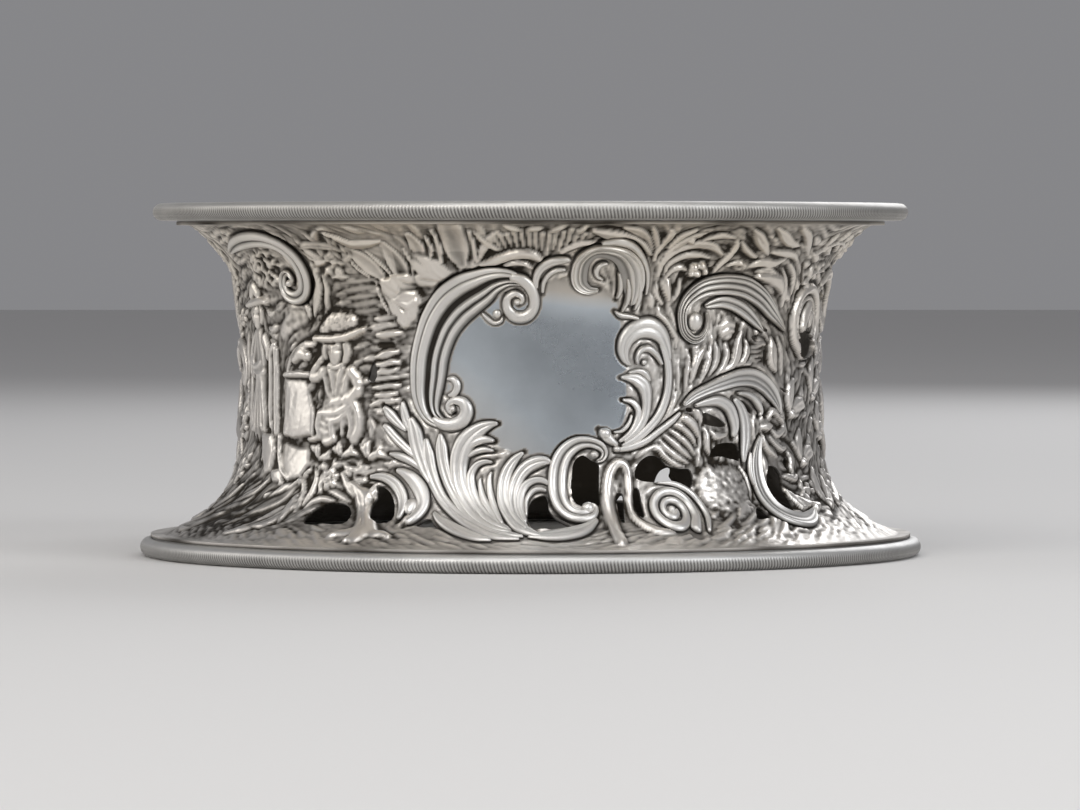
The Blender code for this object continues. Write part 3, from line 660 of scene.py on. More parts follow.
# The saw's closed lines, of (degrees, height) points
OPENINGS = [
    [(-43.2, 12), (-40.8, 14.8), (-37, 15.3), (-34.4, 14.4), (-33.1, 12), (-34.2, 10.5), (-38, 10.2),
     (-41.6, 10.2)],
    [(-29.3, 19.4), (-27.2, 18.6), (-25.4, 15.8), (-24.6, 12.4), (-26, 10.9), (-28.6, 11.6), (-29.6, 14.6),
     (-29, 17)],
    [(-19.8, 10.6), (-18.8, 11.8), (-17.6, 12.2), (-16.7, 11.2), (-16.1, 10.4), (-18, 10.1)],
    [(-0.5, 12.2), (-0.5, 14.4), (0, 16.2), (0.9, 17.2), (2.5, 17.8), (3.1, 16.6), (3.3, 14.4), (4.3, 12.6),
     (5.6, 11.5), (7, 10.6), (6.6, 10), (3.6, 9.9), (1, 9.9), (-0.1, 10.8)],
    [(7.6, 17), (7.7, 22), (8.2, 25.6), (9.8, 27.2), (11.6, 26), (12.9, 25), (12.8, 21), (12.6, 17.6),
     (12.4, 15.4), (10.8, 15.9), (9.2, 15.2)],
    [(15.7, 12), (15.7, 17.2), (16.3, 18.2), (17.1, 17.8), (17, 15.5), (16.6, 13), (16.2, 11)],
    [(19.3, 19.2), (20.3, 19), (20.4, 16), (20.3, 12.8), (19.6, 12.5), (19, 14.5), (19, 17)],
    [(20, 21.6), (20.4, 24.6), (22.6, 26.8), (25, 26.6), (26.6, 24.6), (29, 23.8), (31.6, 23.4), (31.8, 20.4),
     (30.4, 18.6), (28, 20.6), (23, 20.6)],
    [(31.6, 37.4), (31.4, 38.3), (32.8, 38.2), (32.7, 37.3)],
    [(35, 34.6), (35.3, 37), (37.4, 36.5), (39.8, 35.2), (40.9, 33.7), (38.4, 33.6)],
    [(36.6, 26.4), (37.4, 28.6), (39.6, 29.6), (43.2, 29.4), (44.2, 27.6), (44, 25.2), (42.6, 25.4),
     (39.2, 26.4)],
    [(43, 11.4), (44.4, 13.6), (45.8, 13.8), (46.6, 11.6), (44.8, 11)],
    [(44.8, 39.6), (46.2, 39.7), (48.4, 37.6), (48, 36.4), (46.4, 37.6)],
    [(51, 39.2), (52.4, 38), (53, 36.2), (52.4, 35.2), (51.2, 35.6)],
    [(51.6, 48.4), (51.7, 51.8), (52.5, 51.8), (52.5, 48.4)],
    [(47.8, 55.3), (49.3, 55.5), (49.6, 54.4), (48.8, 54)],
    [(50.2, 58.6), (51.4, 57.8), (53, 56.6), (51.8, 56.6), (50.4, 57.4)],
    [(50.7, 16.4), (50.9, 20), (52, 23.4), (54.6, 23.4), (56, 21), (55.4, 17.6), (55.6, 14), (54.4, 12.6),
     (52.2, 12.9), (51, 14.2)],
    [(57.6, 24.4), (58.2, 25.6), (59.1, 25.2), (59.2, 23.4), (58.4, 22.6), (57.7, 23.2)],
    [(58, 42.8), (60, 42), (60.2, 41.2), (58.6, 41.9)],
    [(61.3, 73), (62.3, 72.8), (63.8, 68.4), (63, 68.3)],
    [(64.8, 51.4), (65.2, 55), (68, 56.4), (71.6, 56), (73.4, 52.8), (71, 49.8), (67, 49.6)],
    [(-32.9, 45.2), (-31.8, 49.2), (-31.2, 49), (-30.4, 47), (-31.2, 44.6)],
    [(-57.7, 35.6), (-57.8, 38.6), (-57.2, 38.6), (-57.2, 35.6)],
    [(-68.4, 29), (-67.9, 30.8), (-66.9, 30.6), (-67.1, 28.8)],
    [(-66, 24), (-65.8, 27.4), (-64.9, 26), (-64.4, 22.6)],
    [(80.5, 22), (81, 27), (83.5, 29.4), (85.2, 26), (84.4, 22)],
    [(-84, 40), (-83.4, 45), (-81, 46.6), (-80, 42), (-81.6, 39)],
    [(76, 62), (77, 66), (80, 66.4), (80.6, 62.6), (78.6, 60.6)],
    [(92, 12.6), (94, 16), (97.4, 15.4), (98, 11.6), (95, 10.8)],
]

# The outline of the plain plate
PLATE = [(-17.6, 44), (-14, 36), (-9, 30.4), (-3, 27.4), (4, 26.8), (12, 28.6), (17.4, 33), (19.4, 41),
         (18.6, 48), (18.6, 57), (17.4, 63.4), (13, 68), (5, 69.4), (-2, 67.6), (-9, 64), (-14.6, 58),
         (-17.4, 51)]


def chase_rocks(sheet):
    """Rocks, banks of cloud and the tree over the left of the cartouche; their stains are painted light,
    clear for highlights on the rock faces and dark for shade between them.
    """
    # The ground under the rocks is stained dark: painted shade between the painted highlights.
    sheet.model([([(-34, 78, 3), (-27, 75.4, 5), (-20, 73.4, 5), (-16, 71, 3)], 0.25)], groove=0.0, stain=0.2)
    sheet.raise_each([
        ([(-34.2, 76.6, 0.8), (-32.4, 74.6, 2), (-30.2, 72.2, 2.2), (-28.6, 70.2, 1.2)], 1.1),
        ([(-26.3, 77.6, 1), (-25.4, 75, 2.2), (-24.4, 72, 2.4), (-23.8, 69.8, 1.4)], 1.2),
        ([(-20.8, 79.6, 1), (-20.2, 77.4, 1.7), (-19.8, 75.4, 1.1)], 1.0)], hollow, groove=0.45, stain=-0.35)
    sheet.raise_bars([
        [(-30.2, 76.2, 0.3), (-28.4, 73.6, 0.5), (-26.2, 70, 0.3)],
        [(-22.8, 76.8, 0.3), (-21.9, 73.6, 0.5), (-22.1, 70, 0.3)],
        [(-35, 75, 0.3), (-33.6, 72.4, 0.45), (-31.4, 70, 0.3)],
        [(-18, 79.6, 0.3), (-17.6, 77, 0.5), (-18, 74.6, 0.3)]], 1.3, rounded, groove=0.35, stain=-0.5)
    sheet.raise_bar([(-37, 80.4, 0.5), (-34.8, 79.2, 0.9), (-32.6, 77.9, 1.1), (-29.6, 78, 0.9),
                     (-26.8, 78.6, 0.4)], 1.5, lobe, stain=-0.7)
    sheet.raise_bar([(-30.2, 69, 0.25), (-29.5, 65.4, 0.4), (-28, 61.6, 0.4), (-26, 58.2, 0.25)], 1.0,
                    rounded, stain=-0.1)
    # Each block's last number is its stain: a painted highlight, of a different strength on each face.
    blocks = [
        ([(-29, 69.2), (-26, 70.4), (-24.6, 66.6), (-26.8, 64.4), (-29, 66)], 1.1, (0.22, 0.12), -0.4),
        ([(-26, 70.4), (-22.8, 70.8), (-20.6, 68.6), (-21.4, 67), (-24.6, 66.4)], 0.8, (-0.16, 0.22), -0.8),
        ([(-26.8, 64.4), (-24.4, 66.8), (-21.6, 66.8), (-20.8, 63.6), (-23.6, 61.8)], 1.2, (-0.06, -0.24),
         -0.6),
        ([(-29, 66.2), (-26.6, 64.2), (-24, 61.6), (-24.6, 57.8), (-26.8, 60)], 0.9, (0.25, 0.02), -0.8),
        ([(-24, 61.8), (-21.2, 63.6), (-22, 60), (-24.4, 57.6)], 1.2, (-0.24, 0.12), -0.1),
        ([(-21.4, 76), (-18.6, 74.8), (-18, 71.6), (-20.4, 70.4), (-22, 72.6)], 1.1, (0.2, -0.16), -0.9),
        ([(-18.8, 74.8), (-16.2, 74), (-14.6, 71.2), (-16.4, 69.2), (-18.2, 71.6)], 1.2, (-0.2, -0.12), -0.6),
        ([(-21.8, 70.4), (-18.2, 71.6), (-16.4, 69.4), (-18.2, 67.4), (-21.2, 67.6)], 1.0, (0.04, 0.26),
         -0.9)]
    for corners, rise, tilt, stain in blocks:
        sheet.facet(corners, rise, tilt, bulge=0.15, groove=0.28, stain=stain)
    sheet.cut_lines([
        [(-28.4, 68.4, 0.1), (-27, 67, 0.2), (-25.4, 66.2, 0.1)],
        [(-24.8, 69.6, 0.1), (-23.4, 68.4, 0.2), (-21.6, 68.2, 0.1)],
        [(-25.6, 64.6, 0.1), (-23.8, 64.2, 0.2), (-21.8, 65.2, 0.1)],
        [(-27.6, 64.6, 0.1), (-26, 62, 0.2), (-25, 59.6, 0.1)],
        [(-20.8, 74.6, 0.1), (-19.6, 73, 0.2), (-19.2, 71.6, 0.1)],
        [(-17.6, 73.6, 0.1), (-16.8, 72, 0.2), (-15.8, 70.8, 0.1)],
        [(-20.6, 69.6, 0.1), (-19, 69.2, 0.2), (-17.4, 69, 0.1)],
        [(-23.4, 62, 0.1), (-22.8, 60.6, 0.2), (-23.4, 59, 0.1)]], 0.35)
    for z, width in ((69, 0.6), (67.2, 0.8), (65.2, 0.7), (63.4, 0.8), (61.6, 0.7)):
        sheet.raise_bar([(-38, z - 0.7, 0.3), (-34.4, z - 0.2, width), (-30.2, z + 0.4, 0.4)], 0.4, rounded,
                        groove=0.12, stain=0.3)
    sheet.crags(-40, 72.6, 6.4, 3.4, 0.7, 2, seed=9)
    sheet.spray((-41, 74.5), [(-36, 79.6), (-38.2, 81), (-42, 80.6), (-45, 79.4)], 1.0, 0.8)
    sheet.spray((-36.4, 74), [(-35.4, 78), (-37, 79.6), (-33.8, 76)], 0.8, 0.7)
    sheet.raise_bar([(-45.6, 76.6, 0.3), (-43, 77.6, 0.9), (-38, 77.2, 0.9), (-35.6, 76, 0.3)], 0.7, leafy)


def chase_crest(sheet):
    """The concave panel, the leaf and the shell over the cartouche."""
    # The hollow panel's stain is cleared a little, part of the painted highlight along the top.
    sheet.raise_bar([(-13.2, 81, 2.8), (-13.1, 78, 2.9), (-12.9, 75.4, 2.6), (-12.6, 73.2, 1.4)], 1.1, hollow,
                    stain=-0.1)
    sheet.raise_bars([
        [(-16.4, 81, 0.4), (-16, 77, 0.6), (-16.2, 73.6, 0.4)],
        [(-10.2, 80.8, 0.4), (-9.8, 77, 0.6), (-9.7, 73.8, 0.4)]], 1.4, rounded)
    sheet.raise_each([
        ([(-9.2, 73.8, 0.4), (-8.4, 76.4, 0.9), (-6.9, 79, 1), (-5.4, 80.8, 0.3)], 1.2),
        ([(-9.4, 80.8, 0.3), (-8.2, 78.8, 0.7), (-6.6, 77.2, 0.7), (-5.2, 76.4, 0.3)], 1.0)], leafy)
    rng = np.random.default_rng(11)
    for k in range(14):
        a = -5.2 + 1.02 * k
        lean = 0.22 * (a - 1.5)
        top = 80 + 1.4 * rng.random()
        sheet.raise_bar([(a - 0.2 * lean, 76 + 0.5 * rng.random(), 0.25), (a + 0.3 * lean, 78.2, 0.42),
                         (a + 0.7 * lean, top, 0.5 + 0.15 * rng.random())], 0.75, rounded, groove=0.3)
    for a, z, across in ((-3, 81.6, 2), (0.8, 81.5, 1.7), (4.6, 81.6, 2.1), (8.6, 81.4, 1.6)):
        sheet.dome(a, z, across, 0.6, 0.7, turn=6 * a)
    sheet.raise_bar([(-9, 73, 0.5), (-6.4, 74, 1.2), (-3.4, 75.4, 1.2), (-0.4, 75.6, 1.2), (1.6, 74.4, 0.9),
                     (2.3, 72.6, 0.3)], 1.9, lobe, level=0.2)
    sheet.raise_bar([(-5, 72.4, 0.3), (-3.2, 73.5, 0.7), (-1.2, 73.4, 0.7), (0.3, 72, 0.3)], 1.4, rounded,
                    level=0.2)
    sheet.raise_bar([(5.2, 75.4, 0.3), (6.6, 76.9, 0.7), (9, 78.1, 0.7), (11, 78.2, 0.3)], 1.2, rounded)
    sheet.raise_bar([(10.4, 81.2, 0.4), (13.4, 80.2, 1.2), (16.8, 79.6, 1), (19.6, 77.9, 0.8),
                     (21.8, 75.4, 0.4)], 1.5, lobe, level=0.2)
    sheet.raise_each([
        ([(15.4, 81.8, 0.4), (18, 81, 0.9), (20.4, 79.2, 0.7), (22.2, 76, 0.3)], 1.1),
        ([(20.2, 82, 0.3), (21.4, 80, 0.7), (22.8, 77, 0.6), (23, 74, 0.3)], 0.9)], leafy)


def chase_upper_spray(sheet):
    """Leaf sprays and blossom over the right of the cartouche."""
    sheet.raise_bars([
        [(24.2, 70.4, 0.4), (24.6, 73.6, 0.8), (26.6, 76.6, 1), (30, 77.9, 1), (33.6, 77.4, 0.9),
         (36.8, 75.4, 0.3)],
        [(25.2, 70.4, 0.3), (26, 73.2, 0.7), (28.4, 75, 0.8), (31.2, 75.4, 0.7), (34, 74.6, 0.3)],
        [(25.6, 69.6, 0.3), (26.9, 71.6, 0.6), (28.6, 72.2, 0.6), (30, 71.4, 0.3)],
        [(24.6, 75.4, 0.4), (26.4, 77.8, 0.8), (28.6, 79.6, 0.9), (30.6, 80.6, 0.3)],
        [(24.8, 77, 0.3), (26.2, 79.6, 0.7), (28.4, 81.2, 0.4)],
        [(31, 79, 0.3), (34, 80, 0.7), (37.4, 79.4, 0.3)],
        [(22.8, 73.8, 0.3), (22.8, 75.6, 0.6), (23.6, 78, 0.7), (24.2, 80, 1), (23.8, 81.2, 0.4)],
        [(36, 71.2, 0.4), (37, 73.2, 0.8), (38.6, 75.6, 0.9), (38.8, 77.6, 0.8), (37.8, 79.2, 0.3)],
        [(38.6, 72.6, 0.3), (40.6, 73.4, 0.6), (42.2, 73.2, 0.7), (43.4, 72.2, 0.3)],
        [(40.4, 81.2, 0.3), (43.2, 79.2, 1.2), (46.2, 77, 1), (48.4, 75.2, 0.3)],
        [(39.4, 78.6, 0.3), (41.4, 76.8, 0.7), (43.6, 75.4, 0.7), (45.4, 74.6, 0.3)],
        [(45.4, 81.6, 0.3), (48.6, 80, 0.9), (52.4, 78.2, 0.9), (56, 77.4, 0.3)],
        [(44.6, 72.6, 0.5), (47.4, 73.4, 1.1), (51, 73.2, 1), (54.4, 74.4, 0.3)],
        [(46.8, 71.2, 0.4), (50, 71.6, 0.8), (53.6, 70.6, 0.3)],
        [(48.8, 75.8, 0.3), (52, 75.8, 0.9), (56, 75.2, 0.8), (59.4, 73.4, 0.3)],
        [(52, 81.4, 0.3), (55.6, 80, 0.8), (59, 77.6, 0.9), (61.6, 75.2, 0.3)],
        [(54.8, 71.8, 0.3), (56.6, 69, 0.9), (57.2, 65.8, 1), (57.2, 62.6, 0.4)],
        [(56.8, 73, 0.3), (59, 70.8, 0.8), (60, 67.6, 0.8), (59.6, 64.6, 0.3)]], 1.2, leafy)
    sheet.raise_bar([(26.2, 69.3, 0.4), (26.2, 67.2, 1.2), (26.9, 64.6, 0.5)], 1.7, rounded)
    sheet.raise_each([
        ([(24, 68.6, 0.3), (24.2, 66, 0.7), (25.6, 63.4, 0.4)], 1.1),
        ([(28.8, 69.4, 0.3), (28.8, 66.8, 0.7), (28, 64, 0.3)], 0.9)], leafy)
    for spot in ((31.1, 72.3, 1.2, 1.3), (32.8, 72.8, 1.2, 1), (32, 70.8, 1.3, 1), (33.7, 71.4, 0.9, 1),
                 (30.6, 70.8, 0.8, 0.9)):
        sheet.dome(*spot, 1.6, ground=0.2)
    sheet.dome(28.6, 78.9, 0.9, 0.8, 1.4)
    sheet.dome(41.8, 73.3, 0.9, 0.7, 1.3)
    sheet.raise_each([
        ([(24.6, 63.6, 0.3), (25, 61, 0.7), (27, 58.6, 0.9), (28.8, 55.6, 0.6), (29, 53, 0.3)], 1.3),
        ([(27.4, 62.6, 0.3), (28.2, 59.6, 0.6), (29, 57, 0.3)], 0.8)], leafy)


def chase_hood(sheet):
    """Blossom and leaves under the hooded scroll."""
    sheet.dome(40.9, 57.6, 2.9, 3.1, 1.1)
    sheet.cut_lines([
        [(38.9, 58.6, 0.25), (40.4, 59.9, 0.25), (42.3, 59.4, 0.25)],
        [(39.4, 57, 0.25), (41, 58, 0.25), (42.8, 57.2, 0.25)],
        [(40.2, 55.4, 0.25), (41.6, 56.4, 0.25), (43, 55.4, 0.25)]], 0.5)
    for a in (35.7, 36.4, 37.1):
        sheet.raise_bar([(a, 55.8, 0.2), (a, 57.6, 0.3), (a, 59.4, 0.2)], 0.6)
    sheet.raise_each([
        ([(32.2, 44.6, 0.4), (33.2, 48.4, 1), (34.2, 51, 1), (35.6, 53.4, 0.3)], 1.7),
        ([(31, 42.6, 0.3), (31.4, 46.6, 0.7), (31.8, 50, 0.6), (31.4, 52.6, 0.3)], 1.0),
        ([(29.4, 42, 0.3), (29.6, 46, 0.6), (29.6, 50, 0.3)], 0.8),
        ([(34.4, 44.4, 0.4), (35.8, 47.8, 0.9), (36.6, 50.6, 0.8), (36.8, 53, 0.3)], 1.4),
        ([(36.6, 45.8, 0.3), (38.2, 48.8, 0.9), (38.6, 51.8, 0.9), (38, 54.4, 0.3)], 1.0),
        ([(38.8, 46.4, 0.4), (40.4, 48.6, 0.9), (41.2, 51.2, 0.9), (40.8, 53.6, 0.3)], 1.1),
        ([(40, 46.4, 0.5), (42.6, 48.6, 1.3), (43.6, 51.8, 1.5), (44, 54.6, 1), (45, 56.8, 0.3)], 1.8),
        ([(43.2, 47.8, 0.4), (45.4, 49.6, 1), (46.4, 52.2, 1.1), (46, 54.8, 0.3)], 1.5),
        ([(44.4, 47.6, 0.4), (47, 48.8, 0.8), (48.6, 50.4, 0.7), (50, 50.4, 0.3)], 1.1),
        ([(44.4, 57, 0.3), (45.6, 58.8, 0.7), (47.4, 59.4, 0.6), (48, 58, 0.3)], 1.2),
        ([(49.6, 59.6, 0.4), (49.6, 57.6, 1), (49.2, 55.8, 0.3)], 1.7),
        ([(54, 54.8, 0.6), (54.4, 52.2, 1.7), (54.6, 49, 1.8), (56, 46.8, 0.5)], 1.7),
        ([(56.4, 55, 0.4), (57.6, 52, 1), (58, 48.8, 0.9), (58.2, 46, 0.3)], 1.0)], leafy)
    for k in range(4):
        sheet.raise_bar([(47.4, 49.4 + 1.1 * k, 0.25), (49.2, 49.5 + 1.1 * k, 0.4),
                         (51, 49.6 + 1.1 * k, 0.25)], 0.6)


def chase_shell(sheet):
    """The ridged shell, the hive and the ground at the lower right."""
    sheet.raise_each([
        ([(28.6, 37, 0.4), (31, 35.8, 1.1), (32.9, 33.9, 1.2), (33.8, 31.4, 0.5)], 1.9),
        ([(27.8, 35.2, 0.4), (30.2, 33.6, 0.8), (32.2, 31.4, 0.8), (33.2, 29.2, 0.3)], 1.6),
        ([(27.4, 33.2, 0.3), (29.8, 31.2, 0.8), (31.6, 29.2, 0.8), (32.6, 27, 0.3)], 1.4),
        ([(26.2, 32, 0.3), (28.6, 29.6, 0.8), (30.6, 27.6, 0.8), (32.2, 26, 0.3)], 1.3),
        ([(25.4, 30.6, 0.3), (27.4, 28, 0.8), (29.4, 26.2, 0.8), (31.4, 25, 0.3)], 1.4),
        ([(24.8, 29, 0.3), (26.2, 26.8, 0.6), (28.2, 25, 0.6), (30.4, 24.2, 0.3)], 1.2),
        ([(35.2, 33.4, 0.4), (35.8, 31.6, 1), (35.8, 29, 1), (36.4, 27, 0.4)], 1.5),
        ([(36.8, 32.6, 0.4), (38, 31.4, 1), (39.6, 31.4, 0.7), (41, 31.8, 0.3)], 1.3),
        ([(34.4, 35.4, 0.3), (34.3, 32, 0.5), (33.9, 27.6, 0.5), (33.3, 24.4, 0.3)], 1.1),
        ([(33.4, 38.2, 0.5), (34.4, 36.8, 0.7), (34.8, 35, 0.4)], 1.2),
        ([(43.6, 32.8, 0.3), (43.4, 30.8, 0.8), (43.6, 29.6, 0.3)], 1.2),
        ([(49, 36, 0.4), (48.2, 33.4, 0.9), (48.6, 30.6, 0.5)], 1.1),
        ([(51, 33.2, 0.6), (52.6, 33.2, 1.2), (54.2, 33.4, 0.5)], 1.9),
        ([(53, 35.4, 0.4), (54.8, 37, 1), (56.8, 36, 1.1), (58.8, 33.4, 0.4)], 1.8),
        ([(50.6, 32.2, 0.4), (51.4, 29.8, 0.8), (53, 27.4, 0.8), (55.6, 25.8, 0.3)], 1.4),
        ([(54.4, 32.4, 0.4), (56, 31.2, 0.9), (58.2, 32.2, 0.8), (59, 34, 0.3)], 1.3),
        ([(53.6, 31, 0.3), (55.4, 29, 0.8), (57.4, 27.6, 0.8), (59.4, 27.8, 0.3)], 1.1),
        ([(55.6, 17.6, 0.5), (56.6, 16, 1.1), (58.2, 13.6, 1), (60.4, 12, 0.3)], 1.6),
        ([(56.6, 21, 0.4), (58.6, 20.6, 1), (60.6, 20.2, 0.9), (62, 21.2, 0.3)], 1.5),
        ([(59.6, 27, 0.4), (60.6, 25, 1), (60.2, 22.8, 0.9), (60.2, 20.6, 0.3)], 1.3)], leafy)
    sheet.model([
        ([(36.6, 19, 5.6), (39.8, 18.4, 6.4)], 1.6),
        ([(39.6, 14.6, 5), (43.4, 11.6, 3.6), (46.4, 9.6, 2.4)], 0.8)], stain=0.45)
    sheet.stipple(39.4, 16.8, 11, 10, 0.1, grain=0.75, tone=2)
    rng = np.random.default_rng(12)
    for k in range(20):
        a, z = 30 + 0.75 * k, 6.6 + 3.2 * rng.random() + 0.04 * k
        run = rng.uniform(4, 7)
        sheet.raise_bar([(a, z, 0.25), (a + 0.4 * run, z + 0.15 * run, 0.6),
                         (a + 0.75 * run, z + 0.36 * run, 0.6), (a + run, z + 0.6 * run, 0.2)], 0.75, rounded,
                        groove=0.2)
    sheet.raise_bar([(43.6, 24, 0.3), (44.8, 21.4, 0.7), (44.9, 18, 0.7), (44.2, 15.4, 0.3)], 1.0, rounded)
    sheet.raise_bar([(14.2, 7.6, 1.4), (14.1, 12, 1.55), (14.1, 16, 1.6), (14.5, 20, 1.55),
                     (15.2, 23.4, 1.35), (16.5, 25.2, 1.25), (17.9, 24.8, 1.15), (18.5, 22.5, 1),
                     (18.4, 18.5, 0.85), (18, 15, 0.8), (18.2, 12.6, 0.8), (19.4, 10.6, 0.9),
                     (21.5, 9.2, 0.9), (24, 8.8, 0.5)], 1.5, rounded, stain=0.2)
    sheet.cut_line([(14.9, 9, 0.1), (14.8, 14, 0.15), (15.1, 19, 0.15), (15.8, 22.6, 0.1)], 0.5)
    sheet.raise_bars([
        [(20.4, 26.6, 0.3), (22, 28, 0.6), (24.6, 29.6, 0.3)],
        [(19.6, 27.4, 0.3), (21.6, 29.6, 0.6), (24, 31.6, 0.3)],
        [(24.4, 33.6, 0.3), (26.6, 36, 0.7), (28.4, 39.4, 0.7), (29, 42, 0.3)],
        [(26.2, 34.2, 0.3), (28, 36.6, 0.6), (30, 38.6, 0.6), (31.2, 40.6, 0.3)]], 0.9, leafy)


def chase_figure(sheet):
    """A gardener in a coat and a broad hat, seated beside a plain tablet on a stony bank."""
    sheet.model([([(-56, 56.4, 2.6), (-53, 59.6, 3.4), (-49.4, 60, 2.6)], 0.25)], groove=0.0, stain=-0.2)
    sheet.stipple(-53, 58.6, 6, 4.6, 0.03, grain=1.2, seed=31)
    sheet.facet([(-56, 31), (-52, 30.4), (-46.4, 31.4), (-46.4, 36.4), (-47.8, 41), (-49.4, 44.6),
                 (-56, 44.8)], 0.6, (0.0, -0.06), bulge=0.35, stain=-0.9)
    sheet.model([
        ([(-59.2, 52, 0.8), (-59, 44, 1.2), (-59, 37, 1.3), (-58.6, 31.6, 1)], 1.4),
        ([(-61.6, 52, 0.6), (-61.4, 45, 1), (-61.6, 38, 1), (-61, 33, 0.6)], 1.0),
        ([(-57.4, 30.8, 0.7), (-56.8, 26, 0.8), (-55.4, 22.6, 0.8), (-52.6, 20.4, 0.5)], 1.2),
        ([(-58.6, 15.8, 0.6), (-54.6, 17, 1.1), (-51, 18.2, 1.1), (-48.4, 20.4, 0.9), (-46.4, 23, 0.4)],
         1.6)], stain=-0.2)
    sheet.raise_bar([(-55.4, 46.4, 0.5), (-53.4, 50.4, 0.8), (-50, 53, 0.9), (-46.4, 53.8, 0.8),
                     (-43.6, 56, 0.4)], 1.2, twin_reeds)
    sheet.model([
        ([(-52.4, 49.6, 1.2), (-50.4, 51.2, 1.8), (-48.6, 50.6, 1.4)], 1.5),
        ([(-56.2, 45.8, 0.6), (-51, 46.2, 0.9), (-46.8, 45.8, 0.7)], 1.0)], stain=-0.1)
    sheet.facet([(-64.8, 31.4), (-64.4, 25.6), (-62, 21.6), (-59.6, 22), (-58.6, 27), (-60, 31)], 0.7,
                (0.05, 0.05), bulge=0.4, stain=-0.8)
    sheet.facet([(-59.2, 22.4), (-57.6, 18.8), (-54.6, 18.6), (-53.6, 19.4), (-56, 22.6)], 0.8, (0.0, 0.08),
                bulge=0.3, stain=-0.6)
    sheet.facet([(-56.6, 29.4), (-56, 24), (-52.6, 20.6), (-48.6, 21), (-47, 24.6), (-47.6, 29)], 0.5,
                (0.02, -0.06), bulge=0.3, stain=-0.5)
    sheet.cut_line([(-55.6, 30.2, 0.3), (-53, 29, 0.5), (-50, 28.4, 0.5), (-46.4, 28.2, 0.3)], 0.5)
    sheet.stipple(-39, 26.4, 12.5, 6, 0.02, grain=1.5, seed=16, stain=0.3)
    for root, tips in (
            ((-44.6, 25.6), [(-47.6, 28.6), (-44.8, 29.6), (-41.8, 28.4), (-41.6, 25.6)]),
            ((-38.6, 26.4), [(-41.6, 28.2), (-39.4, 30.2), (-36.4, 29.6), (-35, 27)]),
            ((-32.4, 26), [(-34.6, 28.6), (-32.4, 30.4), (-29.8, 29.4), (-28.6, 26.6)]),
            ((-41.4, 22.6), [(-44.6, 23.4), (-43.4, 25.4), (-40.6, 26), (-38, 24.2)]),
            ((-35.4, 21.6), [(-38.2, 22.6), (-37, 24.8), (-34.4, 25.4), (-31.8, 23.8), (-31.6, 21.6)])):
        sheet.spray(root, tips, 0.95, 1.0, leafy)
    sheet.raise_each([
        ([(-44.4, 71, 0.4), (-43.8, 68, 1.2), (-44.6, 65, 1.5), (-45.6, 62, 0.9), (-46, 60, 0.3)], 1.4),
        ([(-42.4, 70, 0.3), (-41.9, 67, 0.9), (-42.4, 64, 0.9), (-42.6, 62.4, 0.3)], 0.9),
        ([(-48.6, 63.6, 0.4), (-47.4, 61.6, 0.9), (-47.4, 59.6, 0.3)], 1.2)], lobe)
    sheet.model([
        ([(-40.5, 48.4, 3), (-40.4, 45, 5), (-40.2, 41.4, 4.6), (-40, 38.6, 4.8)], 0.7),
        ([(-38.6, 39, 4.4), (-41.4, 36.6, 4.6), (-42.6, 33.6, 3.8), (-42.6, 31.4, 3)], 0.6),
        ([(-37, 40, 2.4), (-35.8, 36.4, 2.6), (-35.6, 33, 2.6), (-36, 31.2, 2)], 0.5),
        ([(-42.4, 48.2, 0.5), (-41.3, 45.4, 0.9), (-40.7, 41.6, 0.7)], 1.2),
        ([(-38.6, 48.2, 0.5), (-39.6, 45.4, 0.9), (-40.2, 41.6, 0.6)], 1.1),
        ([(-43.6, 46.4, 0.5), (-43, 44, 0.8), (-42.2, 41, 0.5)], 1.0),
        ([(-37.6, 46.4, 0.5), (-38, 44, 0.8), (-38.6, 41.4, 0.5)], 1.0),
        ([(-36.8, 47.2, 1.5), (-35.2, 44.6, 1.7), (-35.2, 42, 1.6)], 1.2),
        ([(-35.3, 42.2, 1.5), (-37.4, 40.4, 1.4), (-39.8, 39.8, 1.1)], 1.4),
        ([(-40, 39.8, 0.9), (-41.6, 39.1, 0.7)], 1.2),
        ([(-43.8, 47, 1.6), (-45.4, 45.6, 1.6), (-47, 45.4, 1.3)], 1.1),
        ([(-47, 45.6, 1.2), (-46, 47.6, 1.2), (-44.4, 49.6, 1)], 1.4),
        ([(-44.3, 49.8, 0.9), (-43.2, 51, 0.8)], 1.5),
        ([(-37, 39, 0.5), (-39.6, 37.2, 0.9), (-42.6, 36.8, 1.1), (-44.8, 36.8, 0.9)], 1.2),
        ([(-37.2, 37.6, 0.4), (-39, 35.8, 0.8), (-41, 35, 1), (-42.6, 35.2, 0.7)], 1.1),
        ([(-44.8, 36.6, 1.1), (-45.3, 34, 1.1), (-44.8, 31.6, 0.8)], 1.1),
        ([(-41.6, 35, 1.1), (-41.4, 32.8, 1), (-41, 31, 0.8)], 1.1),
        ([(-44.6, 35, 0.4), (-43.2, 33.9, 0.6), (-41.8, 34, 0.4)], 0.9),
        ([(-44.8, 33, 0.4), (-43.2, 31.9, 0.5), (-41.6, 32.2, 0.4)], 0.8),
        ([(-36.6, 40.6, 0.5), (-35.2, 37.4, 0.8), (-34.8, 34, 0.8), (-35.6, 31.4, 0.5)], 1.0),
        ([(-37.8, 39, 0.4), (-36.9, 36.4, 0.7), (-36.7, 33.6, 0.7), (-37.4, 31.2, 0.4)], 0.9),
        ([(-38.8, 36.4, 0.4), (-38.7, 34.4, 0.6), (-39, 31.8, 0.5)], 0.8),
        ([(-44.8, 31, 0.9), (-46.4, 30.4, 0.9), (-47.8, 30.3, 0.5)], 1.0),
        ([(-40.8, 30.6, 0.9), (-42.2, 29.8, 0.9), (-43.6, 29.7, 0.5)], 1.1)], groove=0.15, stain=0.15)
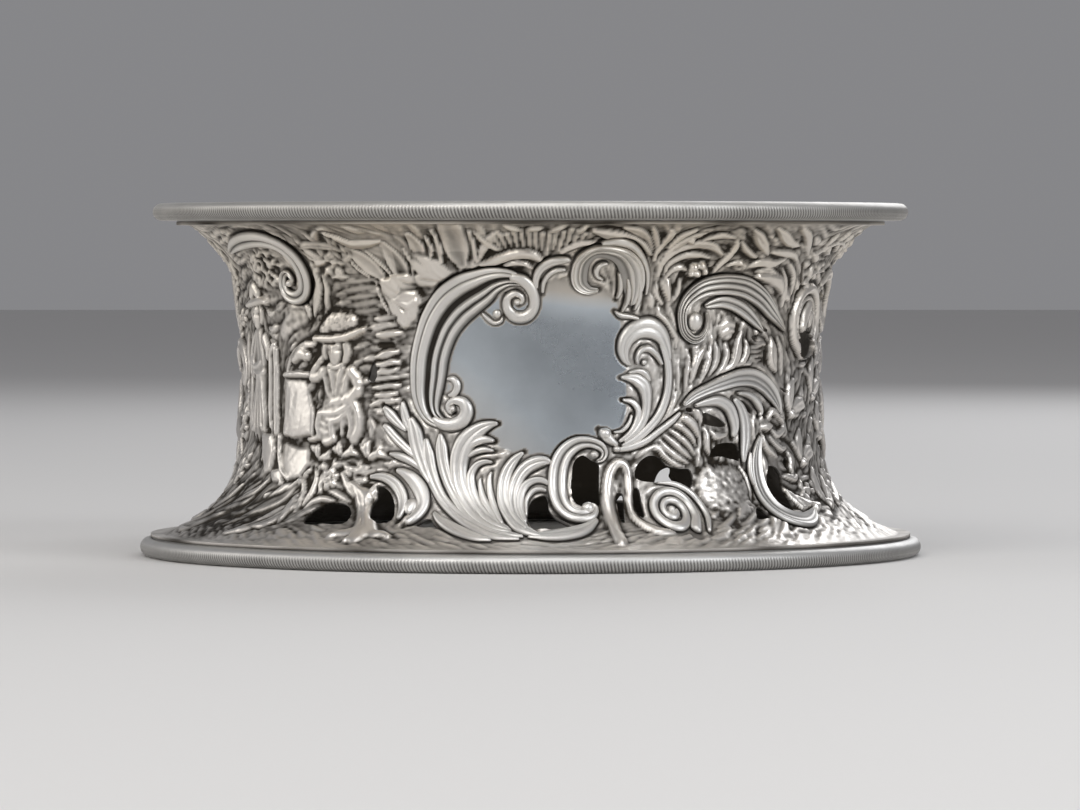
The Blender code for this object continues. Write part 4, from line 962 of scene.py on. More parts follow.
    for line, depth in (
            ([(-40.5, 45, 0.1), (-40.6, 42, 0.15), (-40.8, 40.8, 0.1)], 0.35),
            ([(-36.6, 45.4, 0.1), (-35.2, 44.9, 0.15), (-33.9, 45, 0.1)], 0.25),
            ([(-36.4, 43.6, 0.1), (-35.2, 43.3, 0.15), (-33.9, 43.6, 0.1)], 0.25),
            ([(-37, 41.6, 0.1), (-37.4, 40.4, 0.15), (-37.2, 39.2, 0.1)], 0.25),
            ([(-38.7, 41, 0.12), (-38.8, 38.9, 0.12)], 0.35),
            ([(-45.6, 48.9, 0.12), (-44.4, 48.5, 0.12)], 0.35),
            ([(-44.6, 46.8, 0.1), (-45, 45.6, 0.15), (-44.8, 44.6, 0.1)], 0.25),
            ([(-46.6, 46.2, 0.1), (-46.2, 46.8, 0.12), (-45.4, 47, 0.1)], 0.2)):
        sheet.cut_line(line, depth)
    sheet.stipple(-40.6, 39.6, 9, 10, 0.02, grain=0.8, seed=6, stain=0.05)
    sheet.model([
        ([(-43.1, 50.4, 1), (-43.5, 52, 1.4), (-42.8, 54, 1.6)], 1.0),
        ([(-38.1, 49.6, 1), (-37.6, 52, 1.5), (-38.4, 54, 1.6)], 1.0)], groove=0.2, stain=0.15)
    sheet.cut_lines([
        [(-43.8, 53.4, 0.1), (-43.9, 51.6, 0.15), (-43.2, 50, 0.1)],
        [(-37.6, 53.6, 0.1), (-37.2, 51.6, 0.15), (-37.9, 49.4, 0.1)],
        [(-36.8, 53, 0.1), (-36.4, 51.6, 0.12), (-37, 50, 0.1)]], 0.35)
    sheet.model([([(-42.2, 48.5, 0.7), (-40.6, 48, 0.8), (-39, 48.5, 0.7)], 1.2)], groove=0.15)
    sheet.model([([(-40.6, 50.3, 2), (-40.6, 51.6, 2.6), (-40.6, 53.4, 2.6)], 1.7)], groove=0.2)
    for a in (-41.7, -39.5):
        sheet.swell(a, 52.2, 0.95, 0.65, -0.18)
        sheet.swell(a, 52.1, 0.55, 0.34, 0.24)
        sheet.swell(a - 0.1 * (a + 40.6), 50.5, 1.1, 1.1, 0.14)
    for spot in ((-40.6, 51.4, 0.55, 1.6, 0.5), (-40.6, 53, 2, 0.5, 0.14), (-40.6, 49.6, 0.9, 0.35, 0.22),
                 (-40.6, 48.7, 0.9, 0.6, 0.18), (-40.6, 49.15, 0.8, 0.25, -0.15)):
        sheet.swell(*spot)
    sheet.cut_lines([
        [(-41.95, 52.2, 0.03), (-41.55, 52.2, 0.03)],
        [(-39.65, 52.2, 0.03), (-39.25, 52.2, 0.03)],
        [(-41, 49.7, 0.03), (-40.2, 49.7, 0.03)]], 0.4)
    sheet.model([
        ([(-46, 55, 0.8), (-43.6, 54.9, 1.2), (-40.6, 54.9, 1.3), (-37.2, 55.6, 1.3), (-33.2, 57.4, 0.8)],
         1.9),
        ([(-43.2, 57, 2), (-40.2, 58.6, 3.2), (-36.4, 59, 2.4)], 1.3)], groove=0.2, stain=0.65)
    sheet.cut_line([(-44.4, 56, 0.1), (-41.6, 56.3, 0.2), (-38, 56.7, 0.2), (-35.2, 57.8, 0.1)], 0.4)
    sheet.stipple(-39.8, 58.4, 8, 4.6, 0.045, seed=4)
    rng = np.random.default_rng(27)
    for z, rise, width in ((60, 0.8, 0.9), (58, 1.0, 1), (56.2, 1.2, 1), (51.3, 1.8, 1.2), (49, 1.2, 0.9),
                           (47.2, 1.4, 0.9), (45.4, 1.4, 0.9), (43.5, 1.1, 0.9), (41.6, 1.6, 1),
                           (39.7, 1.5, 0.9), (37.8, 1.4, 0.9)):
        left, right, lean = -31.2 + rng.uniform(-1, 0.8), -25.9 + rng.uniform(-0.8, 0.7), rng.uniform(0.1, 1)
        sheet.raise_bar([(left, z - lean, 0.5), (left + 1.6, z - 0.2, width),
                         (right - 1.6, z + rng.uniform(0, 0.4), 0.9 * width), (right, z + 0.8 * lean, 0.5)],
                        rise * rng.uniform(0.7, 1), rounded, groove=0.3, stain=rng.uniform(-0.1, 0.3))
    sheet.cut_line([(-30.2, 53.4, 0.6), (-28.8, 53.7, 0.9), (-27.4, 53.7, 0.6)], 0.9)


def chase_lower_left(sheet):
    """Grass sweeping down the flare, the tree that bridges the two openings, and leaves at its root."""
    rng = np.random.default_rng(19)
    for k in range(19, -1, -1):
        a, z = -45 - 2.3 * k + rng.uniform(-1, 1), 18 + rng.uniform(-3.5, 2.5)
        run, fall, width = rng.uniform(9, 17), rng.uniform(6.5, 9.5), rng.uniform(0.8, 1.7)
        sway = rng.uniform(-0.12, 0.12)
        sheet.raise_bar([(a, z, 0.4), (a - 0.25 * run, z - (0.3 + sway) * fall, width),
                         (a - 0.6 * run, z - (0.72 - sway) * fall, width), (a - run, z - 0.95 * fall, 0.3)],
                        rng.uniform(0.9, 1.5), broad_lobe if width > 1.2 else leafy)
    # Painted shade: the stippled ground at the lower left is stained dark over a wide oval.
    sheet.stipple(-68, 13, 26, 8, 0.02, grain=2.5, seed=23, stain=0.85)
    sheet.model([
        ([(-28.6, 9, 2.6), (-30, 12, 2.1), (-31.1, 14.6, 2), (-32.2, 17, 2.2)], 1.7),
        ([(-32.2, 17, 1.5), (-34.6, 19, 1.3), (-37, 20.2, 0.8)], 1.5),
        ([(-31.2, 15.6, 1.4), (-30, 18.4, 1.3), (-28.6, 20.6, 0.9)], 1.6),
        ([(-29.2, 10, 1.3), (-31, 8.6, 0.9), (-32.6, 8.3, 0.6), (-34, 7.6, 0.4)], 0.9),
        ([(-28.6, 9.4, 1.2), (-29, 8, 0.8), (-30.2, 6.9, 0.4)], 0.8),
        ([(-28, 9.8, 1.4), (-26.2, 8.5, 0.9), (-24.4, 8.4, 0.6), (-23, 7.8, 0.4)], 0.9)], stain=-0.1)
    sheet.cut_lines([
        [(-29.4, 9.6, 0.1), (-30.8, 13, 0.2), (-32.4, 17, 0.2), (-34.6, 19, 0.1)],
        [(-27.8, 10, 0.1), (-29.6, 13.4, 0.15), (-30.4, 17, 0.2), (-29.4, 19.6, 0.1)],
        [(-30.4, 9.4, 0.1), (-31.4, 12, 0.15), (-32.4, 14.6, 0.1)],
        [(-28.6, 8.8, 0.1), (-30.2, 11.6, 0.15), (-31.2, 14.4, 0.1)]], 0.4)
    sheet.rosette(-40.9, 21, 2.8, 6, 1.5, turn=20)
    sheet.raise_each([
        ([(-43, 22.6, 0.4), (-43, 20, 0.8), (-42.4, 17.6, 0.4)], 1.4),
        ([(-38.4, 22.4, 0.4), (-37, 20.6, 0.9), (-35.6, 18.6, 0.9), (-34, 16.6, 0.4)], 1.2),
        ([(-40.6, 18, 0.4), (-38.6, 17.6, 0.8), (-36.4, 16.6, 0.7), (-34.6, 15.6, 0.3)], 0.9),
        ([(-38, 24, 0.4), (-35.6, 23.4, 0.8), (-32.6, 22.8, 0.8), (-29.4, 22.9, 0.8), (-26.6, 22.2, 0.4)],
         1.0),
        ([(-45.6, 14.6, 0.5), (-44.6, 17.6, 1), (-44.4, 20.6, 0.8), (-45, 23, 0.3)], 1.3),
        ([(-46.6, 13, 0.5), (-46.8, 16.6, 1), (-47.6, 19.6, 0.8), (-48.4, 21.6, 0.3)], 1.1),
        ([(-48.4, 10.4, 0.4), (-48.8, 13, 1), (-48.6, 15.6, 0.9), (-47.8, 17.4, 0.3)], 1.4),
        ([(-27.6, 24, 0.3), (-26.8, 25.4, 0.7), (-25.8, 27, 0.3)], 0.9),
        ([(-44.6, 13.8, 0.4), (-43.4, 15.4, 0.8), (-41, 16.2, 0.8), (-38.6, 15.8, 0.4)], 1.0)], leafy)


def chase_flanks(sheet):
    """The draped figure, the oval frame and the flower garden between the two fronts."""
    sheet.raise_each([
        ([(-71.4, 48, 0.5), (-71.6, 43, 1.3), (-72.2, 38, 1.3), (-72.6, 33.6, 0.4)], 1.2),
        ([(-74, 56, 0.5), (-74.6, 51, 1.4), (-74.4, 46, 1.4), (-75, 40, 0.5)], 1.1),
        ([(-62.6, 61.6, 0.3), (-61, 60.6, 0.7), (-59.4, 61, 0.3)], 0.9),
        ([(-62.4, 57.4, 0.3), (-60.6, 57, 0.8), (-58.8, 57.8, 0.3)], 0.9),
        ([(-61.8, 54.4, 0.3), (-60, 53.4, 0.8), (-58.6, 51.4, 0.3)], 1.0)], leafy)
    folds = [([(-66.7 + 0.4 * k, 46, 0.4), (-66.8 + 0.75 * k, 41, 0.7), (-67 + 1.15 * k, 36, 0.9),
               (-67.1 + 1.3 * k, 33, 0.6)], rise)
             for k, rise in ((-2.7, 1), (-1.5, 1.2), (-0.2, 0.9), (1.2, 1.2), (2.5, 1.1))]
    sheet.model(folds + [
        ([(-66.8, 56.4, 2.4), (-66.8, 53, 4.2), (-66.7, 49, 3.8), (-66.6, 46, 3.2)], 0.6),
        ([(-66.6, 46.4, 3.2), (-66.8, 41, 4), (-67, 36, 4.8), (-67.2, 33.4, 4.4)], 0.5),
        ([(-67.8, 56.4, 0.5), (-69.6, 54, 0.9), (-71, 50.6, 1.1), (-71.4, 46, 0.7)], 1.0),
        ([(-67.4, 56, 0.4), (-68.4, 53, 0.8), (-69.6, 49.4, 0.9), (-70, 45, 0.5)], 0.9),
        ([(-66.2, 56, 0.4), (-65.4, 53, 0.8), (-64.6, 50.4, 0.8), (-64.4, 48.4, 0.5)], 0.9),
        ([(-66.9, 54.6, 0.4), (-66.9, 51.6, 0.7), (-66.8, 49, 0.5)], 0.8),
        ([(-64, 54.6, 1.5), (-62.6, 52, 1.5), (-62.2, 50, 1.2)], 1.1),
        ([(-62.2, 50.2, 1.1), (-60.9, 51.8, 1), (-59.8, 53.2, 0.9)], 1.3),
        ([(-70.6, 49.8, 1.2), (-69, 47.8, 1.2), (-67, 48, 1)], 1.2),
        ([(-66.9, 48.1, 0.8), (-65.8, 48.7, 0.6)], 1.1),
        ([(-69.2, 46.4, 0.6), (-66.7, 45.9, 0.8), (-64.4, 46.4, 0.6)], 1.1),
        ([(-69, 32.8, 0.9), (-70.6, 32, 0.6)], 0.8),
        ([(-65.2, 32.8, 0.9), (-63.6, 32, 0.6)], 0.8)], groove=0.2)
    sheet.model([
        ([(-68.6, 58.6, 0.8), (-69, 60.4, 1.2), (-68.4, 62.4, 1.3)], 0.9),
        ([(-65, 58.6, 0.8), (-64.6, 60.4, 1.2), (-65.2, 62.4, 1.3)], 0.9)], groove=0.15, stain=0.15)
    sheet.model([([(-66.8, 58.4, 1.7), (-66.8, 59.8, 2.2), (-66.8, 61.6, 2.2)], 1.6)], groove=0.2)
    for spot in ((-66.8, 59.6, 0.5, 1.2, 0.38), (-67.7, 60.6, 0.8, 0.55, -0.32),
                 (-65.9, 60.6, 0.8, 0.55, -0.32), (-67.7, 60.5, 0.5, 0.3, 0.2), (-65.9, 60.5, 0.5, 0.3, 0.2),
                 (-66.8, 58.1, 0.75, 0.3, 0.2), (-66.8, 57.4, 0.8, 0.5, 0.15)):
        sheet.swell(*spot)
    sheet.cut_lines([
        [(-67.9, 60.6, 0.03), (-67.6, 60.6, 0.03)],
        [(-66, 60.6, 0.03), (-65.7, 60.6, 0.03)],
        [(-67.1, 58.4, 0.03), (-66.5, 58.4, 0.03)]], 0.38)
    sheet.model([
        ([(-71.6, 62.8, 0.8), (-69.4, 63.3, 1.1), (-66.8, 63.7, 1.2), (-64, 64, 1.1), (-61.6, 63.6, 0.8)],
         1.7),
        ([(-68.6, 65, 1.4), (-67, 67, 1.7), (-65.4, 65.4, 1.4)], 1.2)], groove=0.2)
    sheet.cut_line([(-69.4, 64.4, 0.1), (-66.8, 64.8, 0.2), (-64, 65, 0.1)], 0.3)
    sheet.crags(-59.4, 71.8, 8.5, 5.4, 0.8, 1.8, seed=14)
    sheet.raise_each([(spiral((68.6, 58.6), 250, 8.4, 8.4, -0.98, 1.5, 1.3), 1.8),
                      (spiral((68.6, 58.6), 250, 6, 6, -0.98, 0.6, 0.6), 1.3)], rounded)
    sheet.model([
        ([(66.6, 57.4, 1.4), (67.8, 60, 2.3), (69.2, 62.4, 1.8)], 1.5),
        ([(70.4, 58, 1), (71, 60.6, 1.3)], 1.2)], groove=0.2)
    for root, tips in (
            ((62, 36), [(59.6, 42), (63.6, 44.8), (67.8, 42.4), (69, 37.4)]),
            ((66, 24), [(62, 29), (66, 32.4), (71, 30.8), (72.6, 25.6)]),
            ((71, 13.6), [(67, 19), (71, 22.6), (75.8, 20.6)]),
            ((74, 40), [(70.8, 46), (75, 49.8), (79.8, 47), (80.8, 41.6)]),
            ((80, 30), [(76, 35), (80, 38.8), (84.8, 36), (85.8, 31)])):
        sheet.spray(root, tips, 2.2, 1.5, broad_lobe)
        sheet.dome(*root, 1.3, 1.3, 1.4)
    sheet.model([
        ([(47.6, 70, 0.9), (51.4, 69.6, 1.6), (55.4, 68, 1.9), (58.6, 64.8, 1.1)], 1.2),
        ([(56, 16.6, 0.9), (58.4, 14.6, 1.8), (61.6, 13.4, 1.6), (64.6, 13.4, 0.8)], 1.3)], groove=0.2)
    for stem, leaves, length in (
            ([(63.5, 75.4), (69, 78), (76, 78.2), (83, 75.6)], 9, 4.2),
            ([(103, 69.5), (99, 74), (93, 77), (86.5, 77.6)], 8, 4.2),
            ([(64.6, 68.2), (68, 70.8), (72.4, 71.4)], 5, 3.6),
            ([(77, 48.6), (80, 52.6), (83.4, 54)], 5, 4),
            ([(91, 58), (93, 63), (96.6, 66.8), (101, 68)], 7, 4),
            ([(97.6, 55.6), (101, 59), (105, 60.6)], 5, 3.8),
            ([(77, 13), (77.6, 18), (79.4, 22)], 5, 4),
            ([(87, 10.6), (87.6, 15.6), (89.6, 20.6), (92.6, 23.4)], 7, 4),
            ([(100.6, 12), (101.6, 17), (104, 21.4), (107.6, 24.4)], 7, 4.2),
            ([(98.6, 31.4), (102.6, 33.6), (105.4, 37.4), (106, 41.6)], 7, 3.8),
            ([(60.6, 16), (63, 17.6), (65.4, 17.2)], 4, 3.2)):
        sheet.sprig(stem, leaves, length, 1.05, 1.4)
    sheet.rosette(85, 76.8, 2.6, 6, 1.5)
    sheet.raise_bars([
        [(76, 68, 0.6), (80, 70.4, 1.4), (85, 68.8, 1.7), (88.4, 64, 1.7), (88.4, 59, 1.4), (85.6, 56.6, 1),
         (83.6, 58.6, 0.8), (85, 60.6, 0.4)],
        [(90, 46, 0.6), (92.6, 50.6, 1.5), (97, 53, 1.8), (102, 51.4, 1.7), (104.6, 46.8, 1.4),
         (102.4, 43.4, 1), (100, 45.2, 0.8), (101, 47, 0.4)],
        [(90, 44, 0.5), (88.6, 39.6, 1.4), (90.4, 34.4, 1.8), (95, 31.4, 1.7), (99, 29.2, 1),
         (101.6, 25.6, 0.4)],
        [(78, 30, 0.5), (80, 32.6, 1.1), (84, 31.4, 1.3), (87.4, 27.4, 1.3), (89.6, 24, 0.5)]],
        1.7, twin_reeds, level=0.2)


def chase_foot(sheet):
    """Short slanting strokes of turf on the foot's flare."""
    rng = np.random.default_rng(7)
    for a in np.arange(-90, 90, 1.35):
        z = 6.6 + 2.2 * rng.random()
        reach = 1.5 + 1.5 * rng.random()
        lean = 0.35 * (1 if a > 0 else -1) * min(1, abs(a) / 12)
        sheet.raise_bar([(a, z, 0.2), (a + reach / 2, z + lean * reach / 2, 0.4),
                         (a + reach, z + lean * reach, 0.2)], 0.4, rounded, groove=0.12)


def chase_scene(sheet):
    """The drawn ground work, in the order in which one part overlies another."""
    chase_foot(sheet)
    chase_flanks(sheet)
    chase_rocks(sheet)
    chase_figure(sheet)
    chase_lower_left(sheet)
    chase_crest(sheet)
    chase_upper_spray(sheet)
    chase_hood(sheet)
    chase_shell(sheet)


def lay_plate(sheet):
    """The plain plate of the cartouche, blue-grey where it is most polished; its polish falls away to the
    lower left and the top, a painted reflection that turns the plate pale there and warm along its top.
    """
    sheet.facet(PLATE, -0.15, bulge=0.6, reach=9, groove=0.1, polish_and_reflection=1.0)
    # Painted reflection: the polish, and with it the plate's colour, is graded to be pale at the lower left
    # and along the top.
    sheet.polish_and_reflection *= np.clip(0.65 + 0.014 * (sheet.z - 36) + 0.012 * sheet.x, 0.3, 1)
    sheet.polish_and_reflection *= np.clip(1 - (sheet.z - 59.5 + 0.1 * sheet.x) / 12, 0.2, 1)


def chase_sheet(levels):
    """All the ground work of half the ring: first sketched for its flow, then chased over strewn leaves."""
    sketch = Chasing(levels)
    chase_scene(sketch)
    mount_lines = [points for bars in MOUNTS.values() for face, rise, points in bars]
    sheet = Chasing(levels)
    flow = flow_of(sheet, sketch.drawn + [smooth(points) for points in mount_lines])
    strew_leaves(sheet, flow, seed=5, spacing=4.8, rise=0.5)
    tooled = streaks(sheet, flow, seed=3, reach=3.0)
    sheet.height += 0.1 * tooled
    chase_scene(sheet)
    sheet.height = blur(sheet.height, 0.6) + 0.025 * tooled
    lay_plate(sheet)
    # Painted highlight: less stain towards the top of the band, so the work above the cartouche reads lighter
    # though the flare there faces down.
    sheet.stain -= 0.25 * np.clip((sheet.z - 64) / 10, 0, 1)
    for points in mount_lines:
        sheet.sink_seat(points)
    return sheet


def inside_outline(x, z, outline):
    """Whether each point lies inside a closed outline."""
    inside = np.zeros(x.shape, bool)
    for (ax, az), (bx, bz) in zip(outline, np.roll(outline, -1, 0)):
        crosses = (az > z) != (bz > z)
        slant = ax + (z - az) * (bx - ax) / (bz - az if bz != az else 1e-9)
        inside ^= crosses & (x < slant)
    return inside


def pierce(x, z):
    """Which cells of the half sheet the saw takes out, and the sheet with its edges on the saw's lines."""
    taken = np.zeros((x.shape[0] - 1, x.shape[1]), bool)
    x, z = x.copy(), z.copy()
    wide = np.hstack([x, x[:, :1] + 180 * DEGREE])
    cell_x = (wide[:-1, :-1] + wide[1:, 1:]) / 2
    cell_z = (z[:-1] + z[1:]) / 2
    cells_round = np.full(x.shape, 4)
    cells_round[0] = cells_round[-1] = 2
    for outline in OPENINGS:
        edge = smooth([(a, level, 1) for a, level in outline], SAW_STEP, closed=True)[:-1, :2]
        for shift in TURNS:
            moved = edge + (shift, 0)
            if moved[:, 0].max() < x.min() or moved[:, 0].min() > wide.max():
                continue
            cut = inside_outline(cell_x, cell_z, moved)
            taken |= cut
            cut_round = np.zeros(x.shape, int)
            for rows in (np.s_[:-1], np.s_[1:]):
                cut_round[rows] += cut
                cut_round[rows] += np.roll(cut, 1, 1)
            for at in zip(*np.nonzero((cut_round > 0) & (cut_round < cells_round))):
                gap = np.hypot(moved[:, 0] - x[at], moved[:, 1] - z[at])
                if gap.min() < 1:
                    x[at], z[at] = moved[gap.argmin()]
    return taken, x, z


# Modelling

def select_none():
    """Leaves no object selected."""
    bpy.ops.object.select_all(action="DESELECT")


def select_only(piece):
    """Leaves one object selected and active."""
    select_none()
    piece.select_set(True)
    bpy.context.view_layer.objects.active = piece


def get_places(piece):
    """The vertices' places, one to a row."""
    places = np.empty(len(piece.data.vertices) * 3)
    piece.data.vertices.foreach_get("co", places)
    return places.reshape(-1, 3)


def set_places(piece, places):
    """Moves the vertices to their places."""
    piece.data.vertices.foreach_set("co", np.ascontiguousarray(places, np.float32).ravel())
    piece.data.update()


def set_numbers(piece, name, values):
    """Keeps a number at each vertex, for the finish to read."""
    layer = piece.data.attributes.get(name) or piece.data.attributes.new(name, "FLOAT", "POINT")
    layer.data.foreach_set("value", np.ascontiguousarray(values, np.float32))


def make_grid(name, across, up):
    """A flat grid of cells as a new object, and each vertex's column and row in it."""
    select_none()
    bpy.ops.mesh.primitive_grid_add(x_subdivisions=across, y_subdivisions=up, size=2)
    piece = bpy.context.object
    piece.name = piece.data.name = name
    x, y, _ = get_places(piece).T
    return piece, np.rint((x + 1) / 2 * across).astype(int), np.rint((y + 1) / 2 * up).astype(int)


def close_seams():
    """Merges the new piece's edges where they meet and turns its faces outwards."""
    bpy.ops.object.mode_set(mode="EDIT")
    bpy.ops.mesh.select_all(action="SELECT")
    bpy.ops.mesh.remove_doubles(threshold=MERGE)
    bpy.ops.mesh.normals_make_consistent(inside=False)
    bpy.ops.object.mode_set(mode="OBJECT")


def finish_smooth(piece, angle):
    """Smooth shading, with edges past an angle left sharp."""
    select_only(piece)
    bpy.ops.object.shade_smooth_by_angle(angle=radians(angle))


# The band

def band_rows():
    """The band's outside from its foot edge to its rim edge: radius, height, normal and drawn height."""
    fine = np.linspace(FOOT_LEVEL, RIM_LEVEL, 4000)
    radius = np.concatenate([[FOOT_EDGE], flare(fine), [RIM_EDGE]])
    level = np.concatenate([[FOOT_LEVEL], fine, [RIM_LEVEL]])
    run = np.concatenate([[0], np.cumsum(np.hypot(np.diff(radius), np.diff(level)))])
    marks = np.linspace(0, run[-1], ROWS)
    radius, level = np.interp(marks, run, radius), np.interp(marks, run, level)
    along_r, along_z = np.gradient(radius), np.gradient(level)
    length = np.hypot(along_r, along_z)
    past_rim, past_foot = np.clip(marks - run[-2], 0, None), np.clip(run[1] - marks, 0, None)
    drawn = level + past_rim * FLANGE_SHARE - past_foot * FLANGE_SHARE
    return radius, level, along_z / length, -along_r / length, drawn


def oxidise(sheet, height):
    """Oxide over the half sheet, from 0 to 1: rubbed off high work, left in hollows, thin on the plate, with
    the stain's painted shade and highlights added in.
    """
    hollow_near = blur(height, 2.2) - height
    hollow_wide = blur(height, 6) - height
    # Less oxide on the ground towards the foot, so the foot's flare is lighter.
    foot_fade = np.clip((10 - sheet.z) / 2.5, 0, 1)
    ground = 0.57 - 0.3 * foot_fade + 0.1 * noise(height.shape, 9, seed=8)
    worn = np.clip((height - 0.1) / 1.25, 0, 1)
    patina_and_light = ground - 0.58 * worn * worn * (3 - 2 * worn) + 1.5 * hollow_near + 0.45 * hollow_wide
    # The stain adds its painted shade and highlights to the oxide here.
    patina_and_light = np.clip(patina_and_light + 0.5 * sheet.stain, 0.03, 1)
    return patina_and_light * (1 - sheet.polish_and_reflection) + 0.12 * sheet.polish_and_reflection


class Band:
    """The chased and pierced half sheet laid on the band's profile."""

    def __init__(self):
        radius, level, self.out_r, self.out_z, drawn = band_rows()
        sheet = chase_sheet(drawn)
        rise = np.clip((drawn - FOOT_LEVEL + 0.6) / EDGE_FADE, 0, 1)
        fall = np.clip((RIM_LEVEL + 0.6 - drawn) / EDGE_FADE, 0, 1)
        self.height = np.clip(sheet.height, LOWEST, HIGHEST) * (rise * fall)[:, None]
        self.back = np.minimum(blur(self.height, 3.0) * 0.75, self.height) - SHEET
        self.patina_and_light = oxidise(sheet, self.height)
        self.polish_and_reflection = sheet.polish_and_reflection
        self.taken, self.x, z = pierce(sheet.x, sheet.z)
        self.level = np.interp(z, drawn, level)
        self.radius = np.where(np.abs(z - sheet.z) > 1e-9, flare(self.level), radius[:, None])

    def places(self, row, column, lifts):
        """Points of the sheet round the whole ring, lifted along the profile's normal."""
        at = row, column % HALF_COLUMNS
        turn = np.radians(self.x[at] / DEGREE + 180 * (column // HALF_COLUMNS))
        reach = self.radius[at] + lifts[at] * self.out_r[row]
        level = self.level[at] + lifts[at] * self.out_z[row]
        return np.stack([reach * np.sin(turn), -reach * np.cos(turn), level], -1) * MM


def saw_out(piece, gone):
    """Takes the faces of the openings out."""
    bpy.ops.object.mode_set(mode="EDIT")
    bpy.ops.mesh.select_all(action="DESELECT")
    bpy.ops.object.mode_set(mode="OBJECT")
    piece.data.polygons.foreach_set("select", gone)
    bpy.ops.object.mode_set(mode="EDIT")
    bpy.ops.mesh.select_mode(type="FACE")
    bpy.ops.mesh.delete(type="FACE")
    bpy.ops.object.mode_set(mode="OBJECT")


def give_wall(piece):
    """Closes the sheet with a back skin at the places kept for it, dull and dark: oxide inside, with painted
    shade darkest low inside.
    """
    front = len(piece.data.vertices)
    wall = piece.modifiers.new("wall", "SOLIDIFY")
    wall.thickness = SHEET * MM
    wall.offset = -1
    bpy.ops.object.modifier_apply(modifier="wall")
    layers = piece.data.attributes
    places = get_places(piece)
    back = np.empty(places.size, np.float32)
    layers["back"].data.foreach_get("vector", back)
    places[front:] = back.reshape(-1, 3)[front:]
    set_places(piece, places)
    layers.remove(layers["back"])
    # The inner skin is painted dark: oxide on the unpolished inside, with painted shade deepening towards the
    # bottom.
    inside_oxide_and_shade = 0.88 + 0.12 * np.clip((45 - places[front:, 2] / MM) / 20, 0, 1)
    for name, inside in (("patina_and_light", inside_oxide_and_shade), ("polish_and_reflection", 0)):
        values = np.empty(len(places), np.float32)
        layers[name].data.foreach_get("value", values)
        values[front:] = inside
        set_numbers(piece, name, values)


def build_sector(band, number, material):
    """One sector of the chased and pierced sheet, a closed wall."""
    wide = HALF_COLUMNS * 2 // SECTORS
    start = (number - 1) * wide
    piece, column, row = make_grid(f"band_sector_{number}", wide, ROWS - 1)
    column = column + start
    at = row, column % HALF_COLUMNS
    set_places(piece, band.places(row, column, band.height))
    set_numbers(piece, "patina_and_light", band.patina_and_light[at])
    set_numbers(piece, "polish_and_reflection", band.polish_and_reflection[at])
    back = piece.data.attributes.new("back", "FLOAT_VECTOR", "POINT")
    back.data.foreach_set("vector", band.places(row, column, band.back).astype(np.float32).ravel())
    corner = np.empty(len(piece.data.loops), int)
    piece.data.loops.foreach_get("vertex_index", corner)
    corner = corner.reshape(-1, 4)
    saw_out(piece, band.taken[row[corner].min(1), column[corner].min(1) % HALF_COLUMNS])
    give_wall(piece)
    piece.data.materials.append(material)
    finish_smooth(piece, 70)
    return piece


# The mounts

def make_bar(name, face, rise, points):
    """One bar of a mount: a closed section swept along its line and laid on the band."""
    line = smooth(points, BAR_STEP)
    stations = len(line)
    along = np.gradient(line[:, :2], axis=0)
    along /= np.hypot(*along.T)[:, None]
    aside = np.column_stack([-along[:, 1], along[:, 0]])
    run = np.arange(stations) * hypot(*(line[1] - line[0])[:2])
    width = line[:, 2].copy()
    for gap in (run, run[::-1]):
        near = np.clip(gap / np.clip(width, 0.3, None), 0, 1)
        width *= np.sqrt(np.clip(1 - (1 - near) ** 2, 0, 1))
    widest = width.max()
    tops = int(np.clip(widest * 7, 10, 30))
    top = np.linspace(-1, 1, tops + 1)
    below = np.array([0.8, 0.0, -0.8])
    ring = len(top) + len(below)
    piece, column, row = make_grid(name, stations - 1, ring)
    row = row % ring
    on_top = row <= tops
    top_row = np.minimum(row, tops)
    side = np.where(on_top, top[top_row], below[np.clip(row - tops - 1, 0, 2)])
    wide = width[column]
    share = face(side, run[column], np.clip(wide, 0.3, None))
    full = rise * (np.clip(wide, 0, None) / widest) ** 0.35
    lift = np.where(on_top, 0.1 + LIFT * full * share, SEAT)
    ends = (column == 0) | (column == stations - 1)
    plan = line[column, :2] + (side * wide)[:, None] * aside[column]
    set_places(piece, lay(plan[:, 0] / DEGREE, plan[:, 1], np.where(ends, 0.0, lift)))
    section = face(top, np.zeros(tops + 1), np.full(tops + 1, widest))
    padded = np.pad(section, 3, "edge")
    hollows = sum(padded[k:k + tops + 1] for k in range(7)) / 7 - section
    creases = 0.06 + 3.0 * np.clip(hollows, 0, None)[top_row] * min(rise / 2, 1)
    depths = 2.2 * np.clip(0.6 - section, 0, 0.5)[top_row] * np.clip(wide / 1.2, 0.3, 1)
    set_numbers(piece, "patina_and_light", np.clip(np.where(on_top, creases + depths, 0.95), 0, 1))
    set_numbers(piece, "polish_and_reflection", np.zeros(len(row)))
    close_seams()
    return piece


def make_bead(name, degrees, level, across, up, rise):
    """A bead on a scroll's eye: a ball drawn out and laid on the band."""
    select_none()
    bpy.ops.mesh.primitive_uv_sphere_add(segments=24, ring_count=14, radius=1)
    piece = bpy.context.object
    piece.name = piece.data.name = name
    x, y, z = get_places(piece).T
    lift = 0.2 + z * np.where(z > 0, rise, 0.5)
    set_places(piece, lay(degrees + x * across / DEGREE, level + y * up, lift))
    set_numbers(piece, "patina_and_light", np.clip(0.35 - 0.5 * z, 0.04, 1))
    set_numbers(piece, "polish_and_reflection", np.zeros(len(z)))
    return piece


